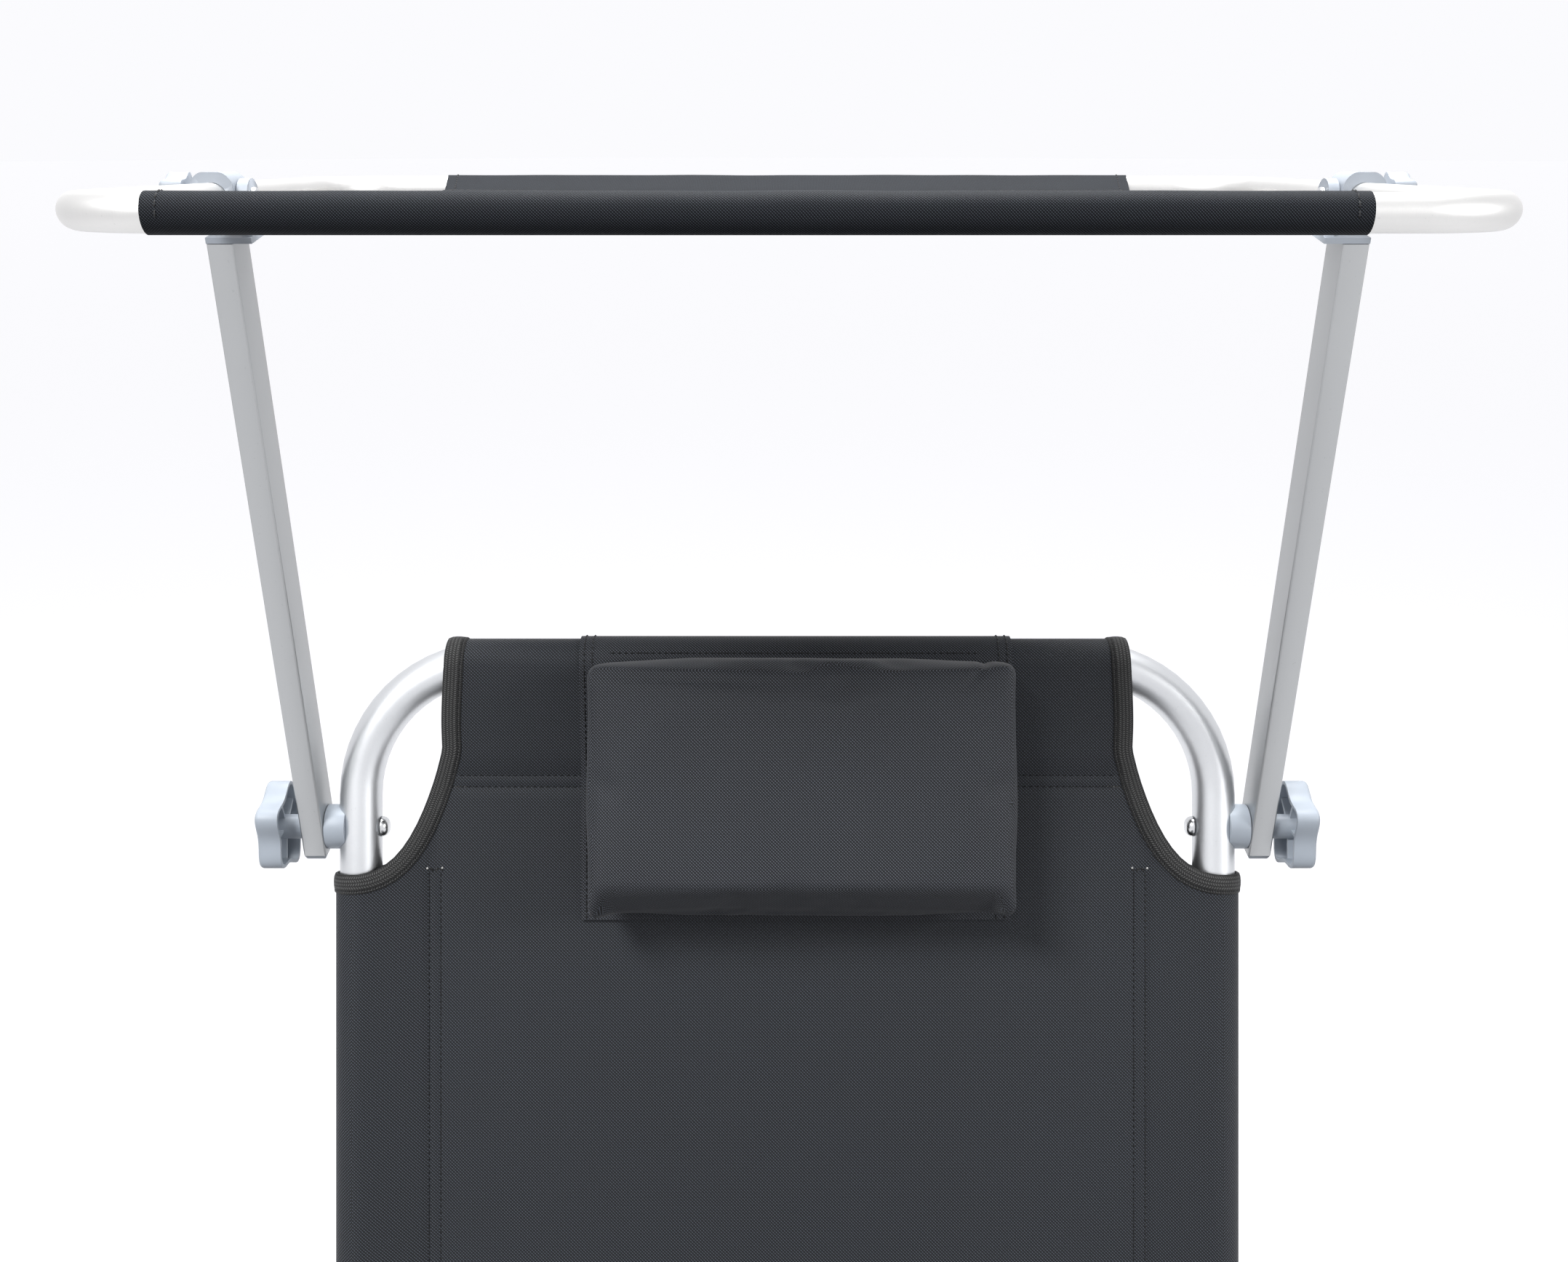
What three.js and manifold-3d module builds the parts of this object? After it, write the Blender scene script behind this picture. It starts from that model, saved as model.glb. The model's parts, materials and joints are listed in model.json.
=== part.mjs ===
// A folding sun lounger with a canopy: a seat section in the middle, a backrest section and a foot section
// hinged to it, three U-shaped legs, and a canopy on two arms that pivot on the backrest.
// Millimetres, +Z up. The foot end points to -Y, the head end to +Y, and left is -X.
// Every section is built lying flat, with its hinge axis as its own X axis, and is then turned to its
// rest pose.

import * as THREE from 'three';
import { mergeVertices } from 'three/addons/utils/BufferGeometryUtils.js';
import Module from 'manifold-3d';

const wasm = await Module();
wasm.setup();

// Driving dimensions of the section frames
const frameWidth = 540;
const frameTube = 25;
const frameWall = 1.5;
const frameBend = 80;
const backrestLength = 700;
const seatLength = 520;
const footLength = 660;
const backrestAngle = 72;
const tubeHeight = 287.5;

// Clearances, and one overrun for every cut
const seatGap = 0.3;
const runGap = 0.6;
const pinPlay = 0.4;
const overrun = 5;

// Ratchet hinges between the sections
const hingeRise = 16;
const cheekRadius = 26;
const cheekThickness = 4.8;
const plateRadius = 23.5;
const plateThickness = 14;
const socketStart = 31;
const socketLength = 4;
const plugLength = 26;
const hingeWebDepth = 15;
const pinDiameter = 8;
const pinHead = 15;
const pinHeadHeight = 2.2;

// U-shaped legs
const legTube = 20;
const legWall = 1.2;
const legBend = 55;
const legSlant = 14;
const legSetback = 78;
const headLegPlace = 300;
const footLegPlace = 470;
const legStowLift = 2;
const rivetDiameter = 6;
const rivetHead = 14;
const rivetHeadHeight = 2.4;
const rivetWindow = 20;
const glideLength = 46;
const glideWall = 2.6;
const glideSole = 2;
const glidePlace = 165;

// Fabric of the three sections
const clothThickness = 1.4;
const sleeveGap = 0.8;
const sleeveNearHinge = 118;
const panelNearHinge = 14;
const cutoutDepth = 140;
const cutoutInset = 63;
const cutoutRadius = 56;
const cutoutSteps = 5;

// Head pillow and the flap that holds it over the top bar
const pillowWidth = 248;
const pillowHeight = 152;
const pillowDepth = 52;
const pillowTop = 10;
const pillowShift = 8;
const pillowCrown = 9;
const pillowPull = 5;
const flapWidth = 255;
const flapFront = 168;
const flapBack = 115;
const flapShift = 6;
const flapThickness = 1.6;

// Canopy arms and their pivots on the backrest
const pivotBelowTop = 112;
const armLean = 26;
const armWidth = 13.5;
const armDepth = 25;
const armWall = 1.3;
const armReach = 372.5;
const armFoot = 16;
const armCap = 3;
const armPlug = 18;
const footPlug = 6;
const armTopGap = 20.5;
const spacerDiameter = 26.8;
const spacerHug = 5.4;
const spacerLength = 7;
const boltDiameter = 6;
const boltHead = 12.3;
const boltHeadHeight = 4.4;
const armKnob = 55;
const armKnobLobe = 3;
const armKnobRim = 13.7;
const armKnobStem = 14.7;
const armKnobStandoff = 9.6;
const knobWall = 2.2;
const knobFace = 3;
const knobRib = 1.8;
const knobLobes = 5;

// Canopy frame, its cloth, clips and knobs
const canopyOverhang = 14;
const canopyTube = 15;
const canopyWall = 1.2;
const canopyBend = 45;
const canopyLength = 410;
const canopyRear = 207;
const canopyDroop = 1;
const canopyCloth = 1.2;
const canopySag = 7;
const canopyFrontHem = 7;
const canopyRearHem = 26;
const canopyHemPull = 14;
const clipLength = 24;
const clipSide = 3;
const clipTop = 5;
const clipSkirt = 9;
const earRadius = 9.5;
const earThickness = 5.4;
const canopyBolt = 5;
const canopyBoltHead = 11;
const canopyBoltHeadHeight = 2.6;
const canopyKnob = 26;
const canopyKnobLobe = 1.5;
const canopyKnobRim = 11.5;
const canopyKnobStem = 11;
const canopyKnobStandoff = 4.7;

// Facets
const tubeSides = 12;
const boreSides = 8;
const smallSides = 8;
const discSides = 18;
const frameBendSteps = 5;
const canopyBendSteps = 4;
const knobPoints = 30;
const flapBendSteps = 6;
const pillowColumns = 12;
const pillowRows = 8;
const pillowLayers = 4;
const canopyColumns = 8;
const canopyRows = 8;

// Shares that shape small forms
const pinCrownShare = 0.62;
const pinShoulderShare = 0.86;
const pinRimShare = 0.3;
const clipCrownShare = 0.62;
const pillowCrownShares = { face: 0.4, rim: 0.6 };
const canopyCrossSagShare = 0.6;

// Sizes that follow from the ones above
const frameRadius = frameTube / 2;
const sideTubeX = frameWidth / 2 - frameRadius;
const sleeveBore = frameRadius + sleeveGap;
const sleeveRadius = sleeveBore + clothThickness;
const legRadius = legTube / 2;
const legTubeX = sideTubeX + sleeveRadius + runGap + legRadius;
const glideDrop = legRadius + glideSole;
const legLength = (tubeHeight - glideDrop) / Math.cos(THREE.MathUtils.degToRad(legSlant));
const armInnerX = frameWidth / 2 + spacerLength;
const armOuterX = armInnerX + armWidth;
const canopyTubeX = frameWidth / 2 + canopyOverhang;
const canopyFront = canopyLength - canopyRear;
const canopyFrontSleeve = 2 * (canopyTubeX - canopyBend - canopyFrontHem);
const canopyRearSleeve = 2 * (canopyTubeX - canopyBend - canopyRearHem);
const canopyRadius = canopyTube / 2;
const pivotPlace = backrestLength - pivotBelowTop;

const aluminium = { color: 0xc9cac8, roughness: 0.38, metalness: 0.85 };
const blackCloth = { color: 0x1b1d20, roughness: 0.85, metalness: 0 };
const greyPlastic = { color: 0x98a2ac, roughness: 0.5, metalness: 0 };
const darkPlastic = { color: 0x2b2d30, roughness: 0.55, metalness: 0 };
const zincSteel = { color: 0xb9bbbd, roughness: 0.3, metalness: 0.9 };

const alongX = new THREE.Vector3(1, 0, 0);
const alongY = new THREE.Vector3(0, 1, 0);
const alongZ = new THREE.Vector3(0, 0, 1);

// Makes a named mesh from a geometry and one of the finishes above.
function piece(name, geometry, finish) {
  const mesh = new THREE.Mesh(geometry, new THREE.MeshStandardMaterial(finish));
  mesh.name = name;
  return mesh;
}

// Turns a closed geometry into a solid that can be joined and cut.
function solid(geometry) {
  const bare = geometry.clone();
  bare.deleteAttribute('normal');
  bare.deleteAttribute('uv');
  const merged = mergeVertices(bare, 1e-4);
  return new wasm.Manifold(new wasm.Mesh({
    numProp: 3,
    vertProperties: new Float32Array(merged.attributes.position.array),
    triVerts: new Uint32Array(merged.index.array),
  }));
}

// Turns a solid back into a geometry with flat faces.
function geometryOf(body) {
  const mesh = body.getMesh();
  const geometry = new THREE.BufferGeometry();
  geometry.setAttribute('position', new THREE.BufferAttribute(new Float32Array(mesh.vertProperties), 3));
  geometry.setIndex(new THREE.BufferAttribute(new Uint32Array(mesh.triVerts), 1));
  const flat = geometry.toNonIndexed();
  flat.computeVertexNormals();
  return flat;
}

// Joins the first list of geometries into one solid and cuts the second list out of it.
function joinAndCut(joined, cuts = []) {
  let body = solid(joined[0]);
  for (const extra of joined.slice(1)) {
    body = body.add(solid(extra));
  }
  for (const tool of cuts) {
    body = body.subtract(solid(tool));
  }
  return geometryOf(body);
}

// The corners of a regular polygon, as points in a plane.
function ringPoints(radius, sides) {
  const points = [];
  for (let i = 0; i < sides; i += 1) {
    const angle = (i + 0.5) * 2 * Math.PI / sides;
    points.push(new THREE.Vector2(radius * Math.cos(angle), radius * Math.sin(angle)));
  }
  return points;
}

// A round section with a round bore.
function tubeSection(radius, bore, sides, innerSides) {
  const section = new THREE.Shape(ringPoints(radius, sides));
  section.holes.push(new THREE.Path(ringPoints(bore, innerSides)));
  return section;
}

// A route through chosen stations: one step of the extrusion from each station to the next.
class StationRoute extends THREE.Curve {
  constructor(stations) {
    super();
    this.stations = stations;
  }

  getPoint(t) {
    const place = Math.min(Math.max(t, 0), 1) * (this.stations.length - 1);
    const first = Math.min(Math.floor(place), this.stations.length - 2);
    return this.stations[first].clone().lerp(this.stations[first + 1], place - first);
  }

  getPointAt(u) {
    return this.getPoint(u);
  }

  getTangentAt(u) {
    return this.getTangent(u);
  }
}

// Sweeps a section along stations.
function sweep(section, stations) {
  const route = new StationRoute(stations);
  const steps = stations.length - 1;
  return new THREE.ExtrudeGeometry(section, { steps, extrudePath: route, bevelEnabled: false });
}

// Stations of a U in the XY plane: up the left side from startY, over the bar at barY, down the right side.
function bowStations(sideX, startY, barY, bend, bendSteps) {
  const direction = Math.sign(barY - startY);
  const stations = [new THREE.Vector3(-sideX, startY, 0)];
  for (const side of [-1, 1]) {
    for (let i = 0; i <= bendSteps; i += 1) {
      const share = side < 0 ? i / bendSteps : 1 - i / bendSteps;
      const angle = share * Math.PI / 2;
      const x = side * (sideX - bend + bend * Math.cos(angle));
      const y = barY - direction * (bend - bend * Math.sin(angle));
      stations.push(new THREE.Vector3(x, y, 0));
    }
  }
  stations.push(new THREE.Vector3(sideX, startY, 0));
  return stations;
}

// The stations over the bar of a U, with one bend step on each side.
function barStations(stations, bendSteps) {
  return stations.slice(bendSteps, stations.length - bendSteps);
}

// A plate whose outline lies in the YZ plane, from x to x + thickness.
function plateAcrossX(outline, x, thickness) {
  const geometry = new THREE.ExtrudeGeometry(outline, { depth: thickness, bevelEnabled: false });
  geometry.applyMatrix4(new THREE.Matrix4().makeBasis(alongY, alongZ, alongX));
  geometry.translate(x, 0, 0);
  return geometry;
}

// A cylinder along X from x to x + length, with its axis at y and z.
function rodAlongX(radius, x, length, y, z, sides) {
  const geometry = new THREE.CylinderGeometry(radius, radius, length, sides);
  geometry.rotateZ(Math.PI / 2);
  geometry.translate(x + length / 2, y, z);
  return geometry;
}

// A cylinder along Y from y to y + length, with its axis at x and z.
function rodAlongY(radius, x, y, length, z, sides) {
  const geometry = new THREE.CylinderGeometry(radius, radius, length, sides);
  geometry.translate(x, y + length / 2, z);
  return geometry;
}

// A box between two corners.
function block(x0, x1, y0, y1, z0, z1) {
  const geometry = new THREE.BoxGeometry(x1 - x0, y1 - y0, z1 - z0);
  geometry.translate((x0 + x1) / 2, (y0 + y1) / 2, (z0 + z1) / 2);
  return geometry;
}

// Gives a part made for the right side to either side.
function toSide(geometry, side) {
  if (side > 0) {
    return geometry;
  }
  return geometryOf(solid(geometry).mirror([1, 0, 0]));
}

// Both sides of the lounger, with the words used in names.
const sides = [
  { word: 'left', sign: -1 },
  { word: 'right', sign: 1 },
];

// A mushroom-headed pin along X: its shank runs outwards from x, its head lies inwards.
function headedPin(x, length, diameter, head, headHeight, y, z) {
  const shank = diameter / 2;
  const cap = head / 2;
  const profile = [
    new THREE.Vector2(0, -headHeight),
    new THREE.Vector2(cap * pinCrownShare, -headHeight * pinShoulderShare),
    new THREE.Vector2(cap, -headHeight * pinRimShare),
    new THREE.Vector2(cap, 0),
    new THREE.Vector2(shank, 0),
    new THREE.Vector2(shank, length),
    new THREE.Vector2(0, length),
  ];
  const geometry = new THREE.LatheGeometry(profile, smallSides);
  geometry.rotateZ(-Math.PI / 2);
  geometry.translate(x, y, z);
  return geometryOf(solid(geometry));
}

// Outline of a hinge half in the YZ plane: a disc round the axis and a neck to the tube's socket.
function hingeOutline(radius, neckTop, neckBottom, neckEnd) {
  const topAngle = Math.asin(neckTop / radius);
  const bottomAngle = Math.asin(neckBottom / radius);
  const outline = new THREE.Shape();
  outline.moveTo(neckEnd, neckBottom);
  outline.lineTo(neckEnd, neckTop);
  outline.absarc(0, 0, radius, topAngle, 2 * Math.PI + bottomAngle, false);
  outline.closePath();
  return outline;
}

// The socket collar and the plug of a hinge half, round the tube's centre line.
function hingePlug(direction) {
  const start = direction > 0 ? socketStart : -socketStart - socketLength;
  const plugStart = direction > 0 ? socketStart + socketLength : -socketStart - socketLength - plugLength;
  const plugRadius = (frameRadius - frameWall) * Math.cos(Math.PI / boreSides) - seatGap;
  const inner = Math.min(start, plugStart);
  return [
    rodAlongY(frameRadius, sideTubeX, start, socketLength, -hingeRise, tubeSides),
    rodAlongY(plugRadius, sideTubeX, inner, socketLength + plugLength, -hingeRise, boreSides),
  ];
}

// The centre plate of a ratchet hinge, which turns with the section that folds.
function hingePlate(direction) {
  const neckTop = -hingeRise + frameRadius - seatGap;
  const neckBottom = -plateRadius + seatGap;
  const outline = hingeOutline(plateRadius, neckTop, neckBottom, socketStart + overrun / 2);
  const plate = plateAcrossX(outline, sideTubeX - plateThickness / 2, plateThickness);
  if (direction < 0) {
    plate.applyMatrix4(new THREE.Matrix4().makeRotationZ(Math.PI));
    plate.translate(2 * sideTubeX, 0, 0);
  }
  const hole = rodAlongX(pinDiameter / 2 + pinPlay, sideTubeX - frameTube, 2 * frameTube, 0, 0, discSides);
  return joinAndCut([plate, ...hingePlug(direction)], [hole]);
}

// The fork of a ratchet hinge, fixed to the seat tube: two cheeks, the web between them and the plug.
function hingeHousing(direction) {
  const cheekOutline = hingeOutline(
    cheekRadius, -hingeRise + frameRadius - seatGap, -cheekRadius + seatGap, socketStart + overrun / 2);
  const cheeks = [];
  for (const x of [sideTubeX - frameRadius, sideTubeX + frameRadius - cheekThickness]) {
    const cheek = plateAcrossX(cheekOutline, x, cheekThickness);
    if (direction < 0) {
      cheek.applyMatrix4(new THREE.Matrix4().makeRotationZ(Math.PI));
      cheek.translate(2 * x + cheekThickness, 0, 0);
    }
    cheeks.push(cheek);
  }
  const webStart = plateRadius + runGap * 2;
  const webEnd = socketStart + socketLength / 2;
  const halfWidth = frameRadius - cheekThickness / 2;
  const webY = direction > 0 ? [webStart, webEnd] : [-webEnd, -webStart];
  const webTop = -hingeRise + frameRadius - seatGap * 2;
  const webBottom = webTop - hingeWebDepth;
  const web = block(sideTubeX - halfWidth, sideTubeX + halfWidth, webY[0], webY[1], webBottom, webTop);
  const hole = rodAlongX(pinDiameter / 2 + pinPlay, sideTubeX - frameTube, 2 * frameTube, 0, 0, discSides);
  return joinAndCut([...cheeks, web, ...hingePlug(direction)], [hole]);
}

// A straight or bent frame tube, with cross holes where bolts and rivets pass.
function frameBow(length) {
  const stations = bowStations(sideTubeX, socketStart + socketLength + seatGap, length - frameRadius,
    frameBend, frameBendSteps);
  const section = tubeSection(frameRadius, frameRadius - frameWall, tubeSides, boreSides);
  const tube = sweep(section, stations);
  tube.translate(0, 0, -hingeRise);
  return tube;
}

// A hole along X right through both side tubes.
function crossHole(diameter, y, z) {
  const reach = frameWidth / 2 + overrun;
  return rodAlongX(diameter / 2 + pinPlay, -reach, 2 * reach, y, z, smallSides);
}

// The points of a rounded cut-away, from the narrow edge of a panel out to the side tube, or back again.
function cutawayPoints(centreY, direction, reversed) {
  const side = sideTubeX - sleeveBore;
  const narrow = frameWidth / 2 - cutoutInset;
  const points = [];
  for (let i = 0; i <= cutoutSteps; i += 1) {
    const angle = i / cutoutSteps * Math.PI / 2;
    const x = narrow + (side - narrow) * (1 - Math.cos(angle));
    points.push(new THREE.Vector2(x, centreY + direction * cutoutRadius * Math.sin(angle)));
  }
  return reversed ? points.reverse() : points;
}

// A flat cloth panel in the XY plane, alike on both sides, from the points of its right edge.
function clothPanel(rightEdge) {
  const leftEdge = rightEdge.map((p) => new THREE.Vector2(-p.x, p.y)).reverse();
  const outline = new THREE.Shape([...rightEdge, ...leftEdge]);
  const panel = new THREE.ExtrudeGeometry(outline, { depth: clothThickness, bevelEnabled: false });
  panel.translate(0, 0, -clothThickness / 2);
  return panel;
}

// The right edge of the backrest's or foot section's panel: cut away at the hinge and at the bent corner.
function sectionEdge(length) {
  const narrow = frameWidth / 2 - cutoutInset;
  const top = length - frameRadius;
  const endAngle = Math.PI / 2 / frameBendSteps;
  const endX = sideTubeX - frameBend + frameBend * Math.sin(endAngle);
  const endY = top - frameBend + frameBend * Math.cos(endAngle);
  const wallMiddle = sleeveBore + clothThickness / 2;
  const wallX = endX - wallMiddle * Math.sin(endAngle / 2);
  return [
    new THREE.Vector2(narrow, panelNearHinge),
    ...cutawayPoints(sleeveNearHinge - cutoutRadius, 1, false),
    ...cutawayPoints(length - cutoutDepth + cutoutRadius, -1, true),
    new THREE.Vector2(narrow, endY - frameTube),
    new THREE.Vector2(wallX, endY - wallMiddle * Math.cos(endAngle / 2)),
    new THREE.Vector2(sideTubeX - frameBend, top - wallMiddle),
  ];
}

// The sleeves round both side tubes between two places along them.
function sideSleeves(fromY, toY) {
  const section = tubeSection(sleeveRadius, sleeveBore, tubeSides, tubeSides);
  return sides.map((side) => {
    const x = side.sign * sideTubeX;
    return sweep(section, [new THREE.Vector3(x, fromY, 0), new THREE.Vector3(x, toY, 0)]);
  });
}

// The round windows in both side sleeves that leave room for a leg's rivets.
function rivetWindows(y) {
  const start = sideTubeX - sleeveRadius - overrun;
  const window = rodAlongX(rivetWindow / 2, start, 2 * (sleeveRadius + overrun), y, 0, tubeSides);
  return [window, toSide(window, -1)];
}

// The cloth of the backrest or foot section: a taut panel sewn into sleeves round the bar and the side tubes.
function sectionCloth(length, rivetPlace) {
  const section = tubeSection(sleeveRadius, sleeveBore, tubeSides, tubeSides);
  const stations = bowStations(sideTubeX, socketStart, length - frameRadius, frameBend, frameBendSteps);
  const joined = [
    clothPanel(sectionEdge(length)),
    sweep(section, barStations(stations, frameBendSteps)),
    ...sideSleeves(sleeveNearHinge, length - cutoutDepth),
  ];
  const cloth = joinAndCut(joined, rivetWindows(rivetPlace));
  cloth.translate(0, 0, -hingeRise);
  return cloth;
}

// The cloth of the seat section, cut away at all four hinges.
function seatCloth() {
  const narrow = frameWidth / 2 - cutoutInset;
  const edge = [
    new THREE.Vector2(narrow, -panelNearHinge),
    ...cutawayPoints(cutoutRadius - sleeveNearHinge, -1, false),
    ...cutawayPoints(sleeveNearHinge - cutoutRadius - seatLength, 1, true),
    new THREE.Vector2(narrow, panelNearHinge - seatLength),
  ];
  const sleeves = sideSleeves(sleeveNearHinge - seatLength, -sleeveNearHinge);
  const cloth = joinAndCut([clothPanel(edge), ...sleeves]);
  cloth.translate(0, 0, -hingeRise);
  return cloth;
}

// A leg lying along +Y from its rivets: the U tube and two glides whose soles lie flat when it is open.
function legGroup(word, openAngle) {
  const group = new THREE.Group();
  const stations = bowStations(legTubeX, -legRadius, legLength, legBend, frameBendSteps);
  const tube = sweep(tubeSection(legRadius, legRadius - legWall, tubeSides, boreSides), stations);
  const reach = legTubeX + legTube;
  const hole = rodAlongX(rivetDiameter / 2 + pinPlay, -reach, 2 * reach, 0, 0, smallSides);
  group.add(piece(word + '_leg', joinAndCut([tube], [hole]), aluminium));
  for (const side of sides) {
    const start = side.sign * glidePlace - glideLength / 2;
    const outer = rodAlongX(legRadius + glideWall, start, glideLength, 0, 0, discSides);
    const bore = rodAlongX(
      legRadius + seatGap, start - overrun, glideLength + 2 * overrun, 0, 0, discSides);
    const end = start + glideLength;
    const sole = block(start - overrun, end + overrun, -legTube, legTube, -legTube, -glideDrop);
    const glide = joinAndCut([outer], [bore, sole]);
    glide.rotateX(-openAngle);
    glide.translate(0, legLength, 0);
    group.add(piece(word + '_leg_glide_' + side.word, glide, darkPlastic));
  }
  return group;
}

// The rivets that carry a leg on its section's side tubes. They stay with the section.
function legRivets(word, y, z) {
  const start = sideTubeX - frameRadius - seatGap;
  const length = legTubeX + legRadius + rivetHeadHeight - start;
  const collarStart = frameWidth / 2 + seatGap;
  const collarLength = legTubeX - legRadius - seatGap - collarStart;
  const shank = headedPin(start, length, rivetDiameter, rivetHead, rivetHeadHeight, y, z);
  const collar = rodAlongX(rivetHead / 2, collarStart, collarLength, y, z, smallSides);
  const pin = joinAndCut([shank, collar]);
  return sides.map((side) => piece(word + '_leg_rivet_' + side.word, toSide(pin, side.sign), zincSteel));
}

// One hinge's moving plates, named for their section.
function platePair(word, direction) {
  return sides.map((side) =>
    piece(word + '_hinge_plate_' + side.word, toSide(hingePlate(direction), side.sign), zincSteel));
}

// One hinge's fixed housings and pins. They stay with the seat section.
function housingPair(word, direction, y) {
  const made = [];
  const pinStart = sideTubeX - frameRadius - seatGap;
  const pinLength = frameTube + 2 * seatGap + pinHeadHeight;
  for (const side of sides) {
    const housing = toSide(hingeHousing(direction), side.sign);
    housing.translate(0, y, 0);
    made.push(piece(word + '_hinge_housing_' + side.word, housing, greyPlastic));
    const pin = headedPin(pinStart, pinLength, pinDiameter, pinHead, pinHeadHeight, y, 0);
    made.push(piece(word + '_hinge_pin_' + side.word, toSide(pin, side.sign), zincSteel));
  }
  return made;
}

// The seat section: two side tubes between the hinges, with their cloth.
function seatSection() {
  const group = new THREE.Group();
  const end = socketStart + socketLength + seatGap;
  const section = tubeSection(frameRadius, frameRadius - frameWall, tubeSides, boreSides);
  for (const side of sides) {
    const x = side.sign * sideTubeX;
    const run = [
      new THREE.Vector3(x, end - seatLength, -hingeRise),
      new THREE.Vector3(x, -end, -hingeRise),
    ];
    const tube = joinAndCut([sweep(section, run)], [crossHole(rivetDiameter, -legSetback, -hingeRise)]);
    group.add(piece('seat_side_tube_' + side.word, tube, aluminium));
  }
  group.add(piece('seat_cloth', seatCloth(), blackCloth));
  group.add(...housingPair('backrest', -1, 0));
  group.add(...housingPair('foot', 1, -seatLength));
  group.add(...legRivets('middle', -legSetback, -hingeRise));
  return group;
}

// The head pillow: crowned front and back, sides drawn in between the corners, edges rounded.
function pillowGeometry() {
  const geometry = new THREE.BoxGeometry(
    pillowWidth, pillowHeight, pillowDepth, pillowColumns, pillowRows, pillowLayers);
  const position = geometry.attributes.position;
  const point = new THREE.Vector3();
  for (let i = 0; i < position.count; i += 1) {
    point.fromBufferAttribute(position, i);
    const u = 2 * point.x / pillowWidth;
    const v = 2 * point.y / pillowHeight;
    const w = 2 * point.z / pillowDepth;
    const fill = Math.sqrt(Math.max(0, (1 - u * u) * (1 - v * v)));
    const edge = Math.max(u * u, v * v) ** 3;
    const drop = pillowCrownShares.face + pillowCrownShares.rim * edge;
    point.z -= w * pillowCrown * (1 - fill) * drop;
    point.x -= Math.sign(u) * u ** 4 * pillowPull * (1 - v * v) * (1 + w * w);
    point.y -= Math.sign(v) * v ** 4 * pillowPull * (1 - u * u) * (1 + w * w) / 2;
    position.setXYZ(i, point.x, point.y, point.z);
  }
  return geometryOf(solid(geometry));
}

// The flap that carries the pillow: over the top bar, down the front and a little way down the back.
function flapGeometry() {
  const inner = sleeveRadius + runGap;
  const outer = inner + flapThickness;
  const outline = new THREE.Shape();
  const front = backrestLength - frameRadius - flapFront + sleeveRadius;
  const back = backrestLength - frameRadius - flapBack + sleeveRadius;
  const bar = backrestLength - frameRadius;
  outline.moveTo(front, inner);
  outline.lineTo(bar, inner);
  outline.absarc(bar, 0, inner, Math.PI / 2, -Math.PI / 2, true);
  outline.lineTo(back, -inner);
  outline.lineTo(back, -outer);
  outline.lineTo(bar, -outer);
  outline.absarc(bar, 0, outer, -Math.PI / 2, Math.PI / 2, false);
  outline.lineTo(front, outer);
  outline.closePath();
  const options = { depth: flapWidth, bevelEnabled: false, curveSegments: flapBendSteps };
  const geometry = new THREE.ExtrudeGeometry(outline, options);
  geometry.applyMatrix4(new THREE.Matrix4().makeBasis(alongY, alongZ, alongX));
  geometry.translate(flapShift - flapWidth / 2, 0, -hingeRise);
  return geometry;
}

// The saddle spacer between the frame tube and a canopy arm, hollowed to sit on the tube.
function saddleSpacer() {
  const start = frameWidth / 2 - spacerHug;
  const body = rodAlongX(spacerDiameter / 2, start, spacerHug + spacerLength - seatGap, 0, 0, discSides);
  const bed = rodAlongY(frameRadius + seatGap, sideTubeX, -spacerDiameter, 2 * spacerDiameter, 0, discSides);
  const hole = rodAlongX(
    boltDiameter / 2 + pinPlay, start - overrun, spacerHug + frameTube, 0, 0, smallSides);
  return joinAndCut([body], [bed, hole]);
}

// A lobed outline, as of a hand knob.
function lobedOutline(radius, lobe, inset) {
  const points = [];
  for (let i = 0; i < knobPoints; i += 1) {
    const angle = i * 2 * Math.PI / knobPoints;
    const reach = radius - inset - lobe + lobe * Math.cos(knobLobes * angle);
    points.push(new THREE.Vector2(reach * Math.cos(angle), reach * Math.sin(angle)));
  }
  return new THREE.Shape(points);
}

// The large hollow knob of an arm's pivot: lobed rim, closed outer face, hub, stem and ribs.
function armKnobGeometry() {
  const stemStart = armOuterX + seatGap;
  const rimStart = armOuterX + armKnobStandoff;
  const rimEnd = rimStart + armKnobRim;
  const rim = plateAcrossX(lobedOutline(armKnob / 2, armKnobLobe, 0), rimStart, armKnobRim);
  const pocket = plateAcrossX(
    lobedOutline(armKnob / 2, armKnobLobe, knobWall), rimStart - overrun, armKnobRim + overrun - knobFace);
  const shell = geometryOf(solid(rim).subtract(solid(pocket)));
  const stem = rodAlongX(armKnobStem / 2, stemStart, rimEnd - knobFace / 2 - stemStart, 0, 0, discSides);
  const ribs = [];
  for (let i = 0; i < knobLobes; i += 1) {
    const reach = armKnob / 2 - knobWall / 2 - 2 * armKnobLobe;
    const rib = block(rimStart + knobWall, rimEnd - knobFace / 2, 0, reach, -knobRib / 2, knobRib / 2);
    rib.rotateX((i + 0.5) * 2 * Math.PI / knobLobes);
    ribs.push(rib);
  }
  const holeLength = rimEnd - knobFace - stemStart + overrun;
  const hole = rodAlongX(boltDiameter / 2 + pinPlay, stemStart - overrun, holeLength, 0, 0, smallSides);
  return joinAndCut([shell, stem, ...ribs], [hole]);
}

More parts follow.
